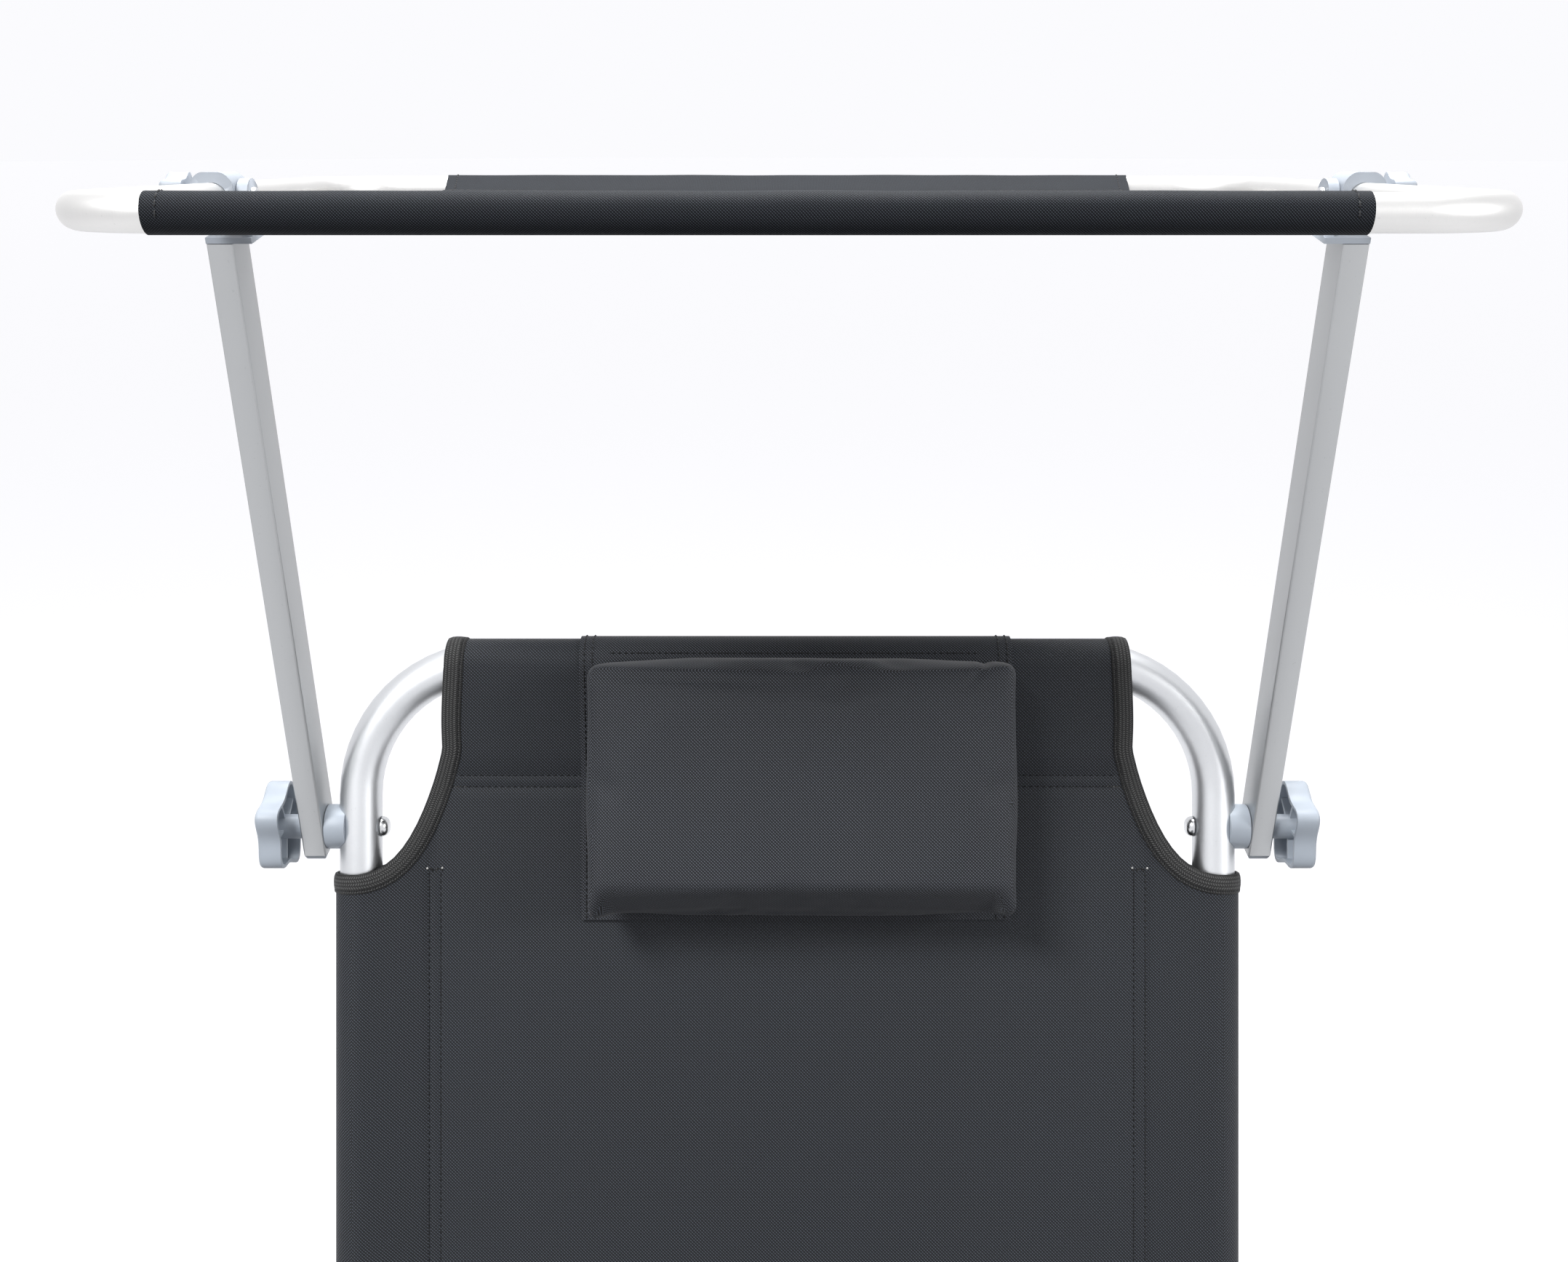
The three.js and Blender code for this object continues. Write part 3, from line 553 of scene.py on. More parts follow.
class Shader:
    """Builds the nodes of one finish."""

    def __init__(self, owner: Material | bpy.types.World, surface: str = "Principled BSDF") -> None:
        """Starts on the node tree of a material or world.

        Args:
            owner: The material or world.
            surface: Name of the node that its colour comes from.
        """
        owner.use_nodes = True
        self.owner = owner
        self.tree = owner.node_tree
        self.surface = self.tree.nodes[surface]

    @classmethod
    def named(cls, name: str) -> "Shader":
        """Starts a new material with nothing linked to its surface shader."""
        return cls(bpy.data.materials.new(name))

    def node(self, kind: str, settings: dict | None = None, inputs: dict | None = None) -> bpy.types.Node:
        """Adds a node.

        Args:
            kind: Its type, without the ShaderNode that starts every type's name.
            settings: Its settings, which are set first. A ramp's stops are pairs of place and colour.
            inputs: Values or signals for its sockets, by name or number.

        Returns:
            The node.
        """
        made = self.tree.nodes.new("ShaderNode" + kind)
        for key, value in (settings or {}).items():
            if key == "stops":
                ramp = made.color_ramp
                while len(ramp.elements) < len(value):
                    ramp.elements.new(1)
                for element, (at, colour) in zip(ramp.elements, value):
                    element.position = at
                    element.color = (*colour, 1)
            else:
                setattr(made, key, value)
        for key, value in (inputs or {}).items():
            self.feed(made.inputs[key], value)
        return made

    def feed(self, socket: bpy.types.NodeSocket, value: object) -> None:
        """Links a signal to a socket, or sets a plain value on it.

        Args:
            socket: The socket.
            value: The signal or value.
        """
        if isinstance(value, Signal):
            self.tree.links.new(value.socket, socket)
        elif isinstance(value, tuple) and len(value) == 3 and socket.type == "RGBA":
            socket.default_value = (*value, 1)
        else:
            socket.default_value = value

    def signal(self, node: bpy.types.Node, output: str | int = 0) -> Signal:
        """Wraps one of a node's outputs."""
        return Signal(self.tree, node.outputs[output])

    def points(self, mapped: bool = False) -> Signal:
        """Gives the coordinates that patterns read.

        Args:
            mapped: Whether they come from the piece's own UV map, in metres, or from its space.

        Returns:
            The coordinates.
        """
        if mapped:
            return self.signal(self.node("UVMap", {"uv_map": "flat"}))
        return self.signal(self.node("TexCoord"), "Object")

    def axes(self, points: Signal) -> tuple[Signal, Signal, Signal]:
        """Splits coordinates."""
        split = self.node("SeparateXYZ", None, {0: points})
        return tuple(self.signal(split, axis) for axis in range(3))

    def stretched(self, points: Signal, scale: Triple) -> Signal:
        """Scales coordinates by axis."""
        mapping = self.node("Mapping", None, {"Vector": points, "Scale": scale})
        return self.signal(mapping)

    def noise(self, points: Signal, scale: float, detail: float = 2.0, rough: float = 0.5) -> Signal:
        """Gives smooth noise from 0 to 1, with so many cycles a metre."""
        settings = {"Vector": points, "Scale": scale, "Detail": detail, "Roughness": rough}
        return self.signal(self.node("TexNoise", None, settings), "Fac")

    def blend(self, factor: Signal, first: object, second: object) -> Signal:
        """Mixes two colours, each a tuple or a signal."""
        mix = self.node("Mix", {"data_type": "RGBA"}, {0: factor, 6: first, 7: second})
        return self.signal(mix, 2)

    def relief(self, height: Signal, depth: float, strength: float = 1.0) -> Signal:
        """Turns a height signal into a normal, with its depth in metres."""
        bump = self.node("Bump", None, {"Height": height, "Distance": depth, "Strength": strength})
        return self.signal(bump)

    def finish(self, **sockets) -> Material | bpy.types.World:
        """Sets the surface's sockets, whose names are given with underscores.

        Args:
            sockets: Values or signals.

        Returns:
            The material or world.
        """
        for key, value in sockets.items():
            self.feed(self.surface.inputs[key.replace("_", " ")], value)
        return self.owner


@dataclass(frozen=True)
class Metal:
    """Satin drawn or rolled metal, with fine lines along one axis and a few handling marks."""

    name: str
    colour: Triple
    roughness: float
    grain: Triple = (160, 160, 6)
    grain_depth: float = 0.012 * MM

    def make(self) -> Material:
        """Builds the finish.

        Returns:
            The material.
        """
        shader = Shader.named(self.name)
        points = shader.points()
        lines = shader.noise(shader.stretched(points, self.grain), 12, 3, 0.6)
        cloud = shader.noise(points, 22, 3, 0.55)
        marks = shader.noise(points, 480, 2, 0.6)
        speck = (marks > 0.71) * 0.5
        low = tuple(0.9 * c for c in self.colour)
        colour = shader.blend((lines * 0.6 + cloud * 0.4).clamp(), low, self.colour)
        dulled = shader.blend(speck, colour, tuple(0.8 * c for c in self.colour))
        rough = lines * 0.12 + cloud * 0.1 + (self.roughness - 0.11)
        return shader.finish(Base_Color=dulled, Metallic=1.0, Roughness=rough.clamp(),
                             Normal=shader.relief(lines, self.grain_depth))


@dataclass(frozen=True)
class Plastic:
    """Moulded plastic with a fine texture and slight shade changes."""

    name: str
    colour: Triple
    roughness: float
    texture: float = 0.02 * MM

    def make(self) -> Material:
        """Builds the finish.

        Returns:
            The material.
        """
        shader = Shader.named(self.name)
        points = shader.points()
        cloud = shader.noise(points, 45, 3, 0.5)
        pores = shader.noise(points, 1900, 2, 0.6)
        shade = tuple(0.88 * c for c in self.colour)
        colour = shader.blend(cloud, shade, self.colour)
        rough = cloud * 0.1 + pores * 0.08 + (self.roughness - 0.09)
        return shader.finish(Base_Color=colour, Roughness=rough.clamp(), Specular_IOR_Level=0.45,
                             Normal=shader.relief(pores, self.texture, 0.6))


@dataclass(frozen=True)
class Weave:
    """Coated polyester cloth in a fine twill, whose lines turn back where it folds over the side tubes."""

    name: str
    # The valley colour is painted shade and the crown colour a painted highlight on the yarn.
    valley: Triple
    crown: Triple
    pitch: float = 1.96 * MM
    depth: float = 0.17 * MM
    roughness: float = 0.7
    sheen: float = 0.1
    gloss: float = 0.35
    # Where the painted highlight lines turn back, on the front of the side tubes.
    fold_x: float = 262 * MM

    def make(self) -> Material:
        """Builds the finish.

        Returns:
            The material.
        """
        shader = Shader.named(self.name)
        points = shader.points(mapped=True)
        across, along, _ = shader.axes(points)
        turn = FULL_TURN / self.pitch
        outward = (across > 0.0) * 2 - 1
        # Painted highlight: the twill lines are mirrored past the side tubes' front, where their highlights
        # turn.
        folded = abs(across).least(abs(across) * -1 + 2 * self.fold_x) * outward
        wander = (shader.noise(points, 45, 2) - 0.5) * (0.6 * self.pitch)
        twill = ((folded + along + wander) * turn).sine() * 0.5 + 0.5
        weft = ((folded - along + wander) * turn).sine() * 0.5 + 0.5
        yarn = twill * 0.55 + (twill * weft) * 0.45
        fleck = shader.noise(points, 1300, 2, 0.7)
        worn = shader.noise(points, 8, 3, 0.55)
        # Painted light: the yarn's crowns get the lit colour as painted highlights and its valleys the dark
        # colour as painted shade; fleck and worn add random tone.
        light = (yarn ** 3.6 * 1.9 + (fleck - 0.5) * 0.34 + (worn - 0.5) * 0.12).clamp()
        colour = shader.blend(light, self.valley, self.crown)
        rough = (fleck * 0.15 + worn * 0.1 + (self.roughness - 0.12)).clamp()
        return shader.finish(Base_Color=colour, Roughness=rough, Sheen_Weight=self.sheen,
                             Sheen_Roughness=0.45, Specular_IOR_Level=self.gloss,
                             Normal=shader.relief(yarn * 0.8 + fleck * 0.25, self.depth))


@dataclass(frozen=True)
class Webbing:
    """Chunky ribbed binding tape: rows of short slanted ribs across its width, and its sewn groove."""

    name: str
    # The valley colour is painted shade between the ribs and the crown colour a painted highlight on them.
    valley: Triple
    crown: Triple
    rib: float = 1.3 * MM
    row: float = 2.1 * MM
    groove: float = 9.3 * MM
    groove_width: float = 0.7 * MM
    depth: float = 0.35 * MM

    def make(self) -> Material:
        """Builds the finish.

        Returns:
            The material.
        """
        shader = Shader.named(self.name)
        points = shader.points(mapped=True)
        across, along, _ = shader.axes(points)
        rows = across / self.row
        odd = (rows.floor() / 2).fraction() * 4 - 1
        rib = abs(((along + across * odd * 0.45) / self.rib).fraction() * 2 - 1)
        column = abs(rows.fraction() * 2 - 1)
        bead = ((1 - rib * rib) * (1 - column * column * 0.85)).clamp()
        # The sewn groove sinks the relief and darkens the colour as painted shade.
        sewn = (1 - abs(across - self.groove) / self.groove_width).clamp()
        fleck = shader.noise(points, 1400, 2, 0.7)
        # Painted light: the ribs' crowns are painted highlights, and the groove is painted shade; fleck adds
        # random tone.
        light = (bead ** 2.2 * 0.95 + (fleck - 0.5) * 0.4 - sewn * 0.6).clamp()
        colour = shader.blend(light, self.valley, self.crown)
        return shader.finish(Base_Color=colour, Roughness=0.58, Specular_IOR_Level=0.4,
                             Normal=shader.relief(bead + fleck * 0.15 - sewn * 1.2, self.depth))


@dataclass(frozen=True)
class Thread:
    """Twisted sewing thread."""

    name: str
    colour: Triple
    depth: float = 0.05 * MM

    def make(self) -> Material:
        """Builds the finish.

        Returns:
            The material.
        """
        shader = Shader.named(self.name)
        points = shader.points()
        twist = shader.noise(points, 1600, 2, 0.6)
        dark = tuple(0.55 * c for c in self.colour)
        return shader.finish(Base_Color=shader.blend(twist, dark, self.colour), Roughness=0.6,
                             Normal=shader.relief(twist, self.depth))


class Finishes:
    """Every finish on the lounger, made once."""

    def __init__(self) -> None:
        """Makes the materials."""
        self.frame = Metal("satin_frame_tube", (0.73, 0.745, 0.76), 0.40).make()
        self.leg = Metal("satin_leg_tube", (0.70, 0.71, 0.72), 0.40).make()
        self.canopy_tube = Metal("satin_canopy_tube", (0.74, 0.735, 0.72), 0.42).make()
        self.arm = Metal("extruded_arm", (0.47, 0.48, 0.485), 0.42, (900, 900, 3)).make()
        self.zinc = Metal("zinc_plated_steel", (0.72, 0.73, 0.74), 0.26, (60, 60, 60)).make()
        self.plate = Metal("stamped_hinge_plate", (0.55, 0.56, 0.57), 0.36, (90, 8, 90)).make()
        self.grey = Plastic("blue_grey_plastic", (0.45, 0.50, 0.565), 0.46).make()
        self.pale = Plastic("pale_grey_plastic", (0.40, 0.436, 0.488), 0.46).make()
        self.housing = Plastic("hinge_plastic", (0.20, 0.225, 0.25), 0.5).make()
        self.glide = Plastic("black_glide_plastic", (0.022, 0.023, 0.025), 0.52).make()
        # In each weave and the tape, the first colour is painted shade in the valleys and the second a
        # painted highlight on the crowns.
        self.cloth = Weave("sling_weave", (0.0024, 0.0028, 0.0038), (0.082, 0.095, 0.118)).make()
        self.pillow = Weave("pillow_weave", (0.0036, 0.004, 0.005), (0.121, 0.134, 0.162),
                            pitch=1.84 * MM).make()
        self.canopy_cloth = Weave("canopy_weave", (0.003, 0.0035, 0.0045), (0.06, 0.069, 0.084),
                                  pitch=1.2 * MM, depth=0.06 * MM, sheen=0.0, gloss=0.12).make()
        self.webbing = Webbing("ribbed_binding", (0.0022, 0.0023, 0.0025), (0.105, 0.106, 0.105)).make()
        self.thread = Thread("black_thread", (0.012, 0.013, 0.015)).make()
        self.knot = Thread("pale_thread_end", (0.75, 0.75, 0.73)).make()


def dress(piece: Piece, material: Material) -> Piece:
    """Gives a piece one finish all over.

    Args:
        piece: The piece.
        material: The finish.

    Returns:
        The same piece.
    """
    piece.data.materials.clear()
    piece.data.materials.append(material)
    return piece


def mount(piece: Piece, place: Place, body: str, slot: str, *replaced: str) -> None:
    """Moves a piece's mesh to its place, lets it ride on its body and says what it stands for.

    Args:
        piece: The piece, modelled in its group's own frame.
        place: The group's frame.
        body: The CAD body it moves with.
        slot: The record's material slot.
        replaced: CAD nodes that it stands for.
    """
    Bench.clear()
    piece.data.transform(place_matrix(place))
    if replaced:
        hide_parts(*replaced)
    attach(piece, body)
    log.info("%s rides on %s", piece.name, body)


def mount_pair(piece: Piece, name: str, place: Place, body: str, slot: str, node: str = "") -> None:
    """Mounts a right-hand piece and its left-hand twin.

    Args:
        piece: The right-hand piece, modelled in its group's own frame.
        name: The name both share before their side's word.
        place: The group's frame.
        body: The CAD body they move with, with {} where each side has its own.
        slot: The record's material slot.
        node: The CAD nodes' name before the side's word, where they stand for any.
    """
    twin = Bench.copy(piece, f"{name}_left", Matrix.Scale(-1, 4, RIGHT))
    for side, made in ((Side.LEFT, twin), (Side.RIGHT, piece)):
        made.name = f"{name}_{side.word}"
        replaced = [f"{node}_{side.word}"] if node else []
        mount(made, place, body.format(side.word), slot, *replaced)


def mushroom(name: str, radius: float, height: float, start: Sequence[float], axis: Vector,
             sides: int = 40) -> Piece:
    """Makes a domed head.

    Args:
        name: Its name.
        radius: Its radius.
        height: Its height.
        start: Centre of its flat side.
        axis: The way the dome faces.
        sides: Facets round it.

    Returns:
        The head.
    """
    head = Bench.rod(name, radius, start, height, axis, sides)
    end = (Vector(start) + axis * height).dot(axis)

    def on_top(edge: bmesh.types.BMEdge) -> bool:
        """Tells whether an edge lies round the far end."""
        return all(abs(v.co.dot(axis) - end) < 1e-6 for v in edge.verts)

    Bench.pick(head, on_top, "EDGE")
    bpy.ops.mesh.bevel(offset=min(0.96 * height, 0.8 * radius), segments=6, profile=0.5, affect="EDGES")
    return Bench.smooth(head)


def fastener(name: str, radius: float, start: float, end: float, material: Material,
             heads: Iterable[Piece]) -> Piece:
    """Makes a bolt, pin or rivet along X.

    Args:
        name: Its name.
        radius: Radius of its shank.
        start: Where the shank starts.
        end: Where it ends.
        material: Its finish.
        heads: The heads and collars that it carries.

    Returns:
        The fastener.
    """
    shank = Bench.rod(name, radius, (start, 0, 0), end - start, RIGHT, 32)
    return dress(Bench.smooth(Bench.combine(shank, heads, "UNION")), material)


@dataclass
class FrameTubes:
    """The aluminium tubes of the three sections."""

    finishes: Finishes
    socket_end: float = 35.3 * MM

    def make(self) -> None:
        """Bends both U frames and runs the seat's side tubes."""
        for name, length, place, body in (
                ("backrest_tube", SIZES.backrest, Place.BACKREST, "backrest"),
                ("foot_tube", SIZES.foot, Place.FOOT, "foot_section")):
            frame_tube = bow(name, SIZES.side_x, self.socket_end, length - SIZES.tube, SIZES.bend,
                             SIZES.tube, SIZES.wall)
            self.lay(frame_tube)
            mount(frame_tube, place, body, "frame_tube", name.replace("tube", "frame"))
        length = SIZES.seat - 2 * self.socket_end
        seat_tube = tube("seat_tube", SIZES.tube, SIZES.wall, (SIZES.side_x, -self.socket_end, 0),
                         (0, -1, 0), [(0, -length, 0)])
        self.lay(seat_tube)
        mount_pair(seat_tube, "seat_tube", Place.SEAT, "seat_section", "frame_tube", "seat_side_tube")

    def lay(self, piece: Piece) -> None:
        """Dresses a tube and lowers it from the hinge axis to the tubes' centre line."""
        piece.data.transform(Matrix.Translation((0, 0, -SIZES.rise)))
        dress(piece, self.finishes.frame)


@dataclass
class Hinges:
    """The four ratchet hinges: a housing of two cheeks, a toothed centre plate and a pin each."""

    finishes: Finishes
    cheek: float = 26 * MM
    cheek_wall: float = 4.8 * MM
    plate: float = 23.5 * MM
    plate_wall: float = 14 * MM
    neck: float = 33.5 * MM
    collar: tuple[float, float] = (31 * MM, 35 * MM)
    web: tuple[float, float] = (24.7 * MM, 33 * MM)
    web_depth: float = 15 * MM
    pin_head: float = 7.5 * MM
    pin_height: float = 2.2 * MM
    teeth: int = 22
    tooth: float = 1.1 * MM
    shank: float = 4 * MM
    panel_rim: float = 3.2 * MM
    panel_depth: float = 0.9 * MM
    housing_edge: float = 0.5 * MM
    plate_edge: float = 0.35 * MM

    def outline(self, name: str, radius: float, start: float, wall: float) -> Piece:
        """Makes a disc round the axis with a neck towards the tube's socket.

        Args:
            name: Its name.
            radius: Radius of the disc.
            start: Where its inner face stands along X.
            wall: Its thickness.

        Returns:
            The disc and neck as one solid.
        """
        disc = Bench.rod(name, radius, (start, 0, 0), wall, RIGHT, 72)
        top = SIZES.tube - SIZES.rise - SIZES.gap
        bottom = SIZES.gap - radius
        neck = Bench.block("neck", (start, 0, bottom), (start + wall, self.neck, top))
        return Bench.combine(disc, [neck], "UNION")

    def recess(self, piece: Piece, face_x: float, width: float, depth: float) -> None:
        """Sinks a panel into a flat face that looks along X.

        Args:
            piece: The piece.
            face_x: Where the face stands.
            width: How far the panel keeps from the outline.
            depth: How deep it is, positive towards smaller X.
        """
        Bench.pick(piece, lambda f: abs(f.calc_center_median().x - face_x) < 1e-6 and abs(f.normal.x) > 0.9)
        bpy.ops.mesh.inset(thickness=width, depth=0, use_boundary=True)
        bpy.ops.mesh.extrude_region_move(TRANSFORM_OT_translate={"value": (-depth, 0, 0)})
        Bench.clear()

    def socket_ring(self) -> Piece:
        """Makes the collar in which a tube's socket ends."""
        return Bench.rod("collar", SIZES.tube, (SIZES.side_x, self.collar[0], -SIZES.rise),
                         self.collar[1] - self.collar[0], AHEAD)

    def housing(self) -> Piece:
        """Makes a housing with its neck towards +Y.

        Returns:
            The housing.
        """
        inner = SIZES.side_x - SIZES.tube
        outer = SIZES.side_x + SIZES.tube - self.cheek_wall
        body = self.outline("hinge_housing", self.cheek, outer, self.cheek_wall)
        self.recess(body, outer + self.cheek_wall, self.panel_rim, self.panel_depth)
        other = self.outline("cheek", self.cheek, inner, self.cheek_wall)
        self.recess(other, inner, self.panel_rim, -self.panel_depth)
        top = SIZES.tube - SIZES.rise - 2 * SIZES.gap
        half = SIZES.tube - self.cheek_wall / 2
        web = Bench.block("web", (SIZES.side_x - half, self.web[0], top - self.web_depth),
                          (SIZES.side_x + half, self.web[1], top))
        Bench.combine(body, [other, web, self.socket_ring()], "UNION")
        return dress(Bench.round_edges(body, self.housing_edge, 2, 50), self.finishes.housing)

    def centre(self) -> Piece:
        """Makes a centre plate with its neck towards +Y and ratchet teeth round the rest of its rim.

        Returns:
            The plate.
        """
        start = SIZES.side_x - self.plate_wall / 2
        plate = self.outline("hinge_plate", self.plate, start, self.plate_wall)
        cutters = []
        for number in range(self.teeth):
            angle = math.radians(150 + 200 * number / (self.teeth - 1))
            centre = (start - MM, self.plate * math.cos(angle), self.plate * math.sin(angle))
            cutters.append(Bench.rod("tooth", self.tooth, centre, self.plate_wall + 2 * MM, RIGHT, 8))
        notches = cutters[0]
        Bench.only(notches)
        for cutter in cutters:
            cutter.select_set(True)
        bpy.ops.object.join()
        Bench.combine(plate, [notches], "DIFFERENCE")
        Bench.combine(plate, [self.socket_ring()], "UNION")
        return dress(Bench.round_edges(plate, self.plate_edge, 2, 40), self.finishes.plate)

    def pin(self) -> Piece:
        """Makes a pin with a domed head on both sides.

        Returns:
            The pin.
        """
        inner = SIZES.side_x - SIZES.tube - SIZES.gap
        outer = SIZES.side_x + SIZES.tube + SIZES.gap
        heads = [mushroom("head", self.pin_head, self.pin_height, (at, 0, 0), way)
                 for at, way in ((inner, -RIGHT), (outer, RIGHT))]
        return fastener("pin", self.shank, inner, outer, self.finishes.zinc, heads)

    def make(self) -> None:
        """Makes every hinge from one housing, one plate and one pin."""
        over = Matrix.Translation((2 * SIZES.side_x, 0, 0)) @ ABOUT
        far = Matrix.Translation((0, -SIZES.seat, 0))
        housing, plate, pin = self.housing(), self.centre(), self.pin()
        for word, place, body, at, way in (
                ("backrest", Place.BACKREST, "backrest", UNTURNED, over),
                ("foot", Place.FOOT, "foot_section", far, UNTURNED)):
            name = f"{word}_hinge"
            mount_pair(Bench.copy(housing, "housing", at @ way), f"{name}_cheeks", Place.SEAT,
                       "seat_section", "hinge_plastic", f"{name}_housing")
            mount_pair(Bench.copy(pin, "pin", at), f"{name}_axle", Place.SEAT,
                       "seat_section", "zinc_fastener", f"{name}_pin")
            mount_pair(Bench.copy(plate, "plate"), f"{name}_disc", place, body, "hinge_plate",
                       f"{name}_plate")
        Bench.discard(housing, plate, pin)


@dataclass
class Legs:
    """The three U-shaped legs with their glides and rivets."""

    finishes: Finishes
    glide_length: float = 46 * MM
    glide_wall: float = 2.6 * MM
    glide_place: float = 165 * MM
    glide_edge: float = 0.5 * MM
    ring_width: float = 3 * MM
    ring_depth: float = 0.8 * MM
    floor_reach: float = 30 * MM
    plug_play: float = 0.1 * MM
    plug_height: float = 2.4 * MM
    rivet: float = 3 * MM
    rivet_head: float = 7 * MM
    rivet_height: float = 2.4 * MM
    rivet_taper: float = 0.6 * MM
    setback: float = 78 * MM
    head_place: float = 300 * MM
    foot_place: float = 470 * MM

    def tube(self) -> Piece:
        """Bends a leg's tube."""
        return dress(bow("leg", SIZES.leg_x, -SIZES.leg_tube, SIZES.leg_length, SIZES.leg_bend,
                         SIZES.leg_tube, SIZES.leg_wall), self.finishes.leg)

    def plug(self) -> Piece:
        """Makes the domed plug of a leg's right-hand end."""
        plug = mushroom("plug", SIZES.leg_tube - self.plug_play, self.plug_height,
                        (SIZES.leg_x, -SIZES.leg_tube, 0), -AHEAD)
        return dress(plug, self.finishes.glide)

    def glide(self) -> Piece:
        """Makes the right-hand glide: a collar round the foot bar, flat where it stands on the floor.

        Returns:
            The glide.
        """
        start = self.glide_place - self.glide_length / 2
        outer = Bench.rod("glide", SIZES.leg_tube + self.glide_wall, (start, 0, 0), self.glide_length)
        rings = []
        for number in range(3):
            at = start + self.glide_length * (number + 1) / 4 - self.ring_width / 2
            rings.append(Bench.rod("ring", SIZES.leg_tube + self.glide_wall + MM, (at, 0, 0),
                                   self.ring_width))
        inner = Bench.rod("core", SIZES.leg_tube + self.glide_wall - self.ring_depth,
                          (start - MM, 0, 0), self.glide_length + 2 * MM)
        for ring in rings:
            Bench.combine(ring, [Bench.copy(inner, "core")], "DIFFERENCE")
        Bench.discard(inner)
        bore = Bench.rod("bore", SIZES.leg_tube + SIZES.gap, (start - MM, 0, 0),
                         self.glide_length + 2 * MM)
        drop = SIZES.leg_tube + SIZES.glide_sole
        floor = Bench.block("floor", (start - MM, -self.floor_reach, -self.floor_reach),
                            (start + self.glide_length + MM, self.floor_reach, -drop))
        Bench.combine(outer, [*rings, bore, floor], "DIFFERENCE")
        Bench.round_edges(outer, self.glide_edge, 2, 50)
        outer.data.transform(Matrix.Translation((0, SIZES.leg_length, 0))
                             @ tip(QUARTER - SIZES.leg_slant))
        return dress(outer, self.finishes.glide)

    def pin(self) -> Piece:
        """Makes a rivet through the frame's side tube, a collar and the leg.

        Returns:
            The rivet.
        """
        start = SIZES.side_x - SIZES.tube - SIZES.gap
        end = SIZES.leg_x + SIZES.leg_tube + SIZES.gap
        collar_start = SIZES.frame_width / 2 + SIZES.gap
        collar = Bench.rod("collar", self.rivet_head, (collar_start, 0, 0),
                           SIZES.leg_x - SIZES.leg_tube - SIZES.gap - collar_start)
        near = mushroom("head", self.rivet_head, self.rivet_height, (start, 0, 0), -RIGHT)
        far = mushroom("head", self.rivet_head - self.rivet_taper, self.rivet_height - SIZES.gap,
                       (end, 0, 0), RIGHT)
        return fastener("rivet", self.rivet, start, end, self.finishes.zinc, [collar, near, far])

    def make(self) -> None:
        """Makes the legs from one tube, one plug, one glide and one rivet."""
        bent, plug, glide, pin = self.tube(), self.plug(), self.glide(), self.pin()
        for word, place, home, body, at in (
                ("head", Place.HEAD_LEG, Place.BACKREST, "backrest", self.head_place),
                ("middle", Place.MIDDLE_LEG, Place.SEAT, "seat_section", -self.setback),
                ("foot", Place.FOOT_LEG, Place.FOOT, "foot_section", self.foot_place)):
            leg = f"{word}_leg"
            mount(Bench.copy(bent, f"{leg}_tube"), place, leg, "frame_tube", leg)
            mount_pair(Bench.copy(plug, "plug"), f"{leg}_plug", place, leg, "glide_plastic")
            mount_pair(Bench.copy(glide, "glide"), f"{leg}_foot", place, leg, "glide_plastic",
                       f"{leg}_glide")
            mount_pair(Bench.copy(pin, "rivet", Matrix.Translation((0, at, -SIZES.rise))),
                       f"{leg}_pivot", home, body, "zinc_fastener", f"{leg}_rivet")
        Bench.discard(bent, plug, glide, pin)


@dataclass
class StarKnob:
    """A lobed hand knob: hollow with ribs, or solid."""

    name: str
    radius: float
    lobe: float
    rim: tuple[float, float]
    stem: tuple[float, float]
    wall: float = 2.2 * MM
    face: float = 3 * MM
    rib: float = 1.8 * MM
    rounding: float = 2.4 * MM
    edge: float = 0.35 * MM
    lobes: int = 5
    hollow: bool = True

    def lobed(self, name: str, inset: float, start: float, end: float) -> Piece:
        """Makes a lobed disc between two places along X.

        Args:
            name: Its name.
            inset: How far its outline keeps inside the knob's.
            start: Where it starts.
            end: Where it ends.

        Returns:
            The disc.
        """
        disc = Bench.rod(name, 1.0, (start, 0, 0), end - start, RIGHT, 120)
        for vertex in disc.data.vertices:
            angle = math.atan2(vertex.co.z, vertex.co.y)
            wave = math.cos(self.lobes * angle)
            reach = self.radius - inset - self.lobe * (1 - wave) - 0.18 * self.lobe * (1 - wave * wave)
            vertex.co.y, vertex.co.z = reach * math.cos(angle), reach * math.sin(angle)
        return disc

    def make(self, material: Material) -> Piece:
        """Makes the right-hand knob round its axis.

        Args:
            material: Its finish.

        Returns:
            The knob.
        """
        start, end = self.rim
        knob = self.lobed(self.name, 0, start, end)
        Bench.pick(knob, lambda e: all(abs(v.co.x - end) < 1e-6 for v in e.verts), "EDGE")
        bpy.ops.mesh.bevel(offset=min(self.rounding, (end - start) / 4), segments=5, profile=0.5,
                           affect="EDGES")
        Bench.clear()
        parts = []
        if self.hollow:
            pocket = self.lobed("pocket", self.wall, start - MM, end - self.face)
            Bench.combine(knob, [pocket], "DIFFERENCE")
            reach = self.radius - 2 * self.lobe - self.wall / 2
            for number in range(self.lobes):
                rib = Bench.block("rib", (start + self.wall, 0, -self.rib / 2),
                                  (end - self.face / 2, reach, self.rib / 2))
                rib.data.transform(tip((number + 0.5) * FULL_TURN / self.lobes))
                parts.append(rib)
            stem_end = end - self.face / 2
        else:
            stem_end = start + (end - start) / 2
        radius, stem_start = self.stem
        parts.append(Bench.rod("stem", radius, (stem_start, 0, 0), stem_end - stem_start))
        Bench.combine(knob, parts, "UNION")
        return dress(Bench.round_edges(knob, self.edge, 2, 45), material)


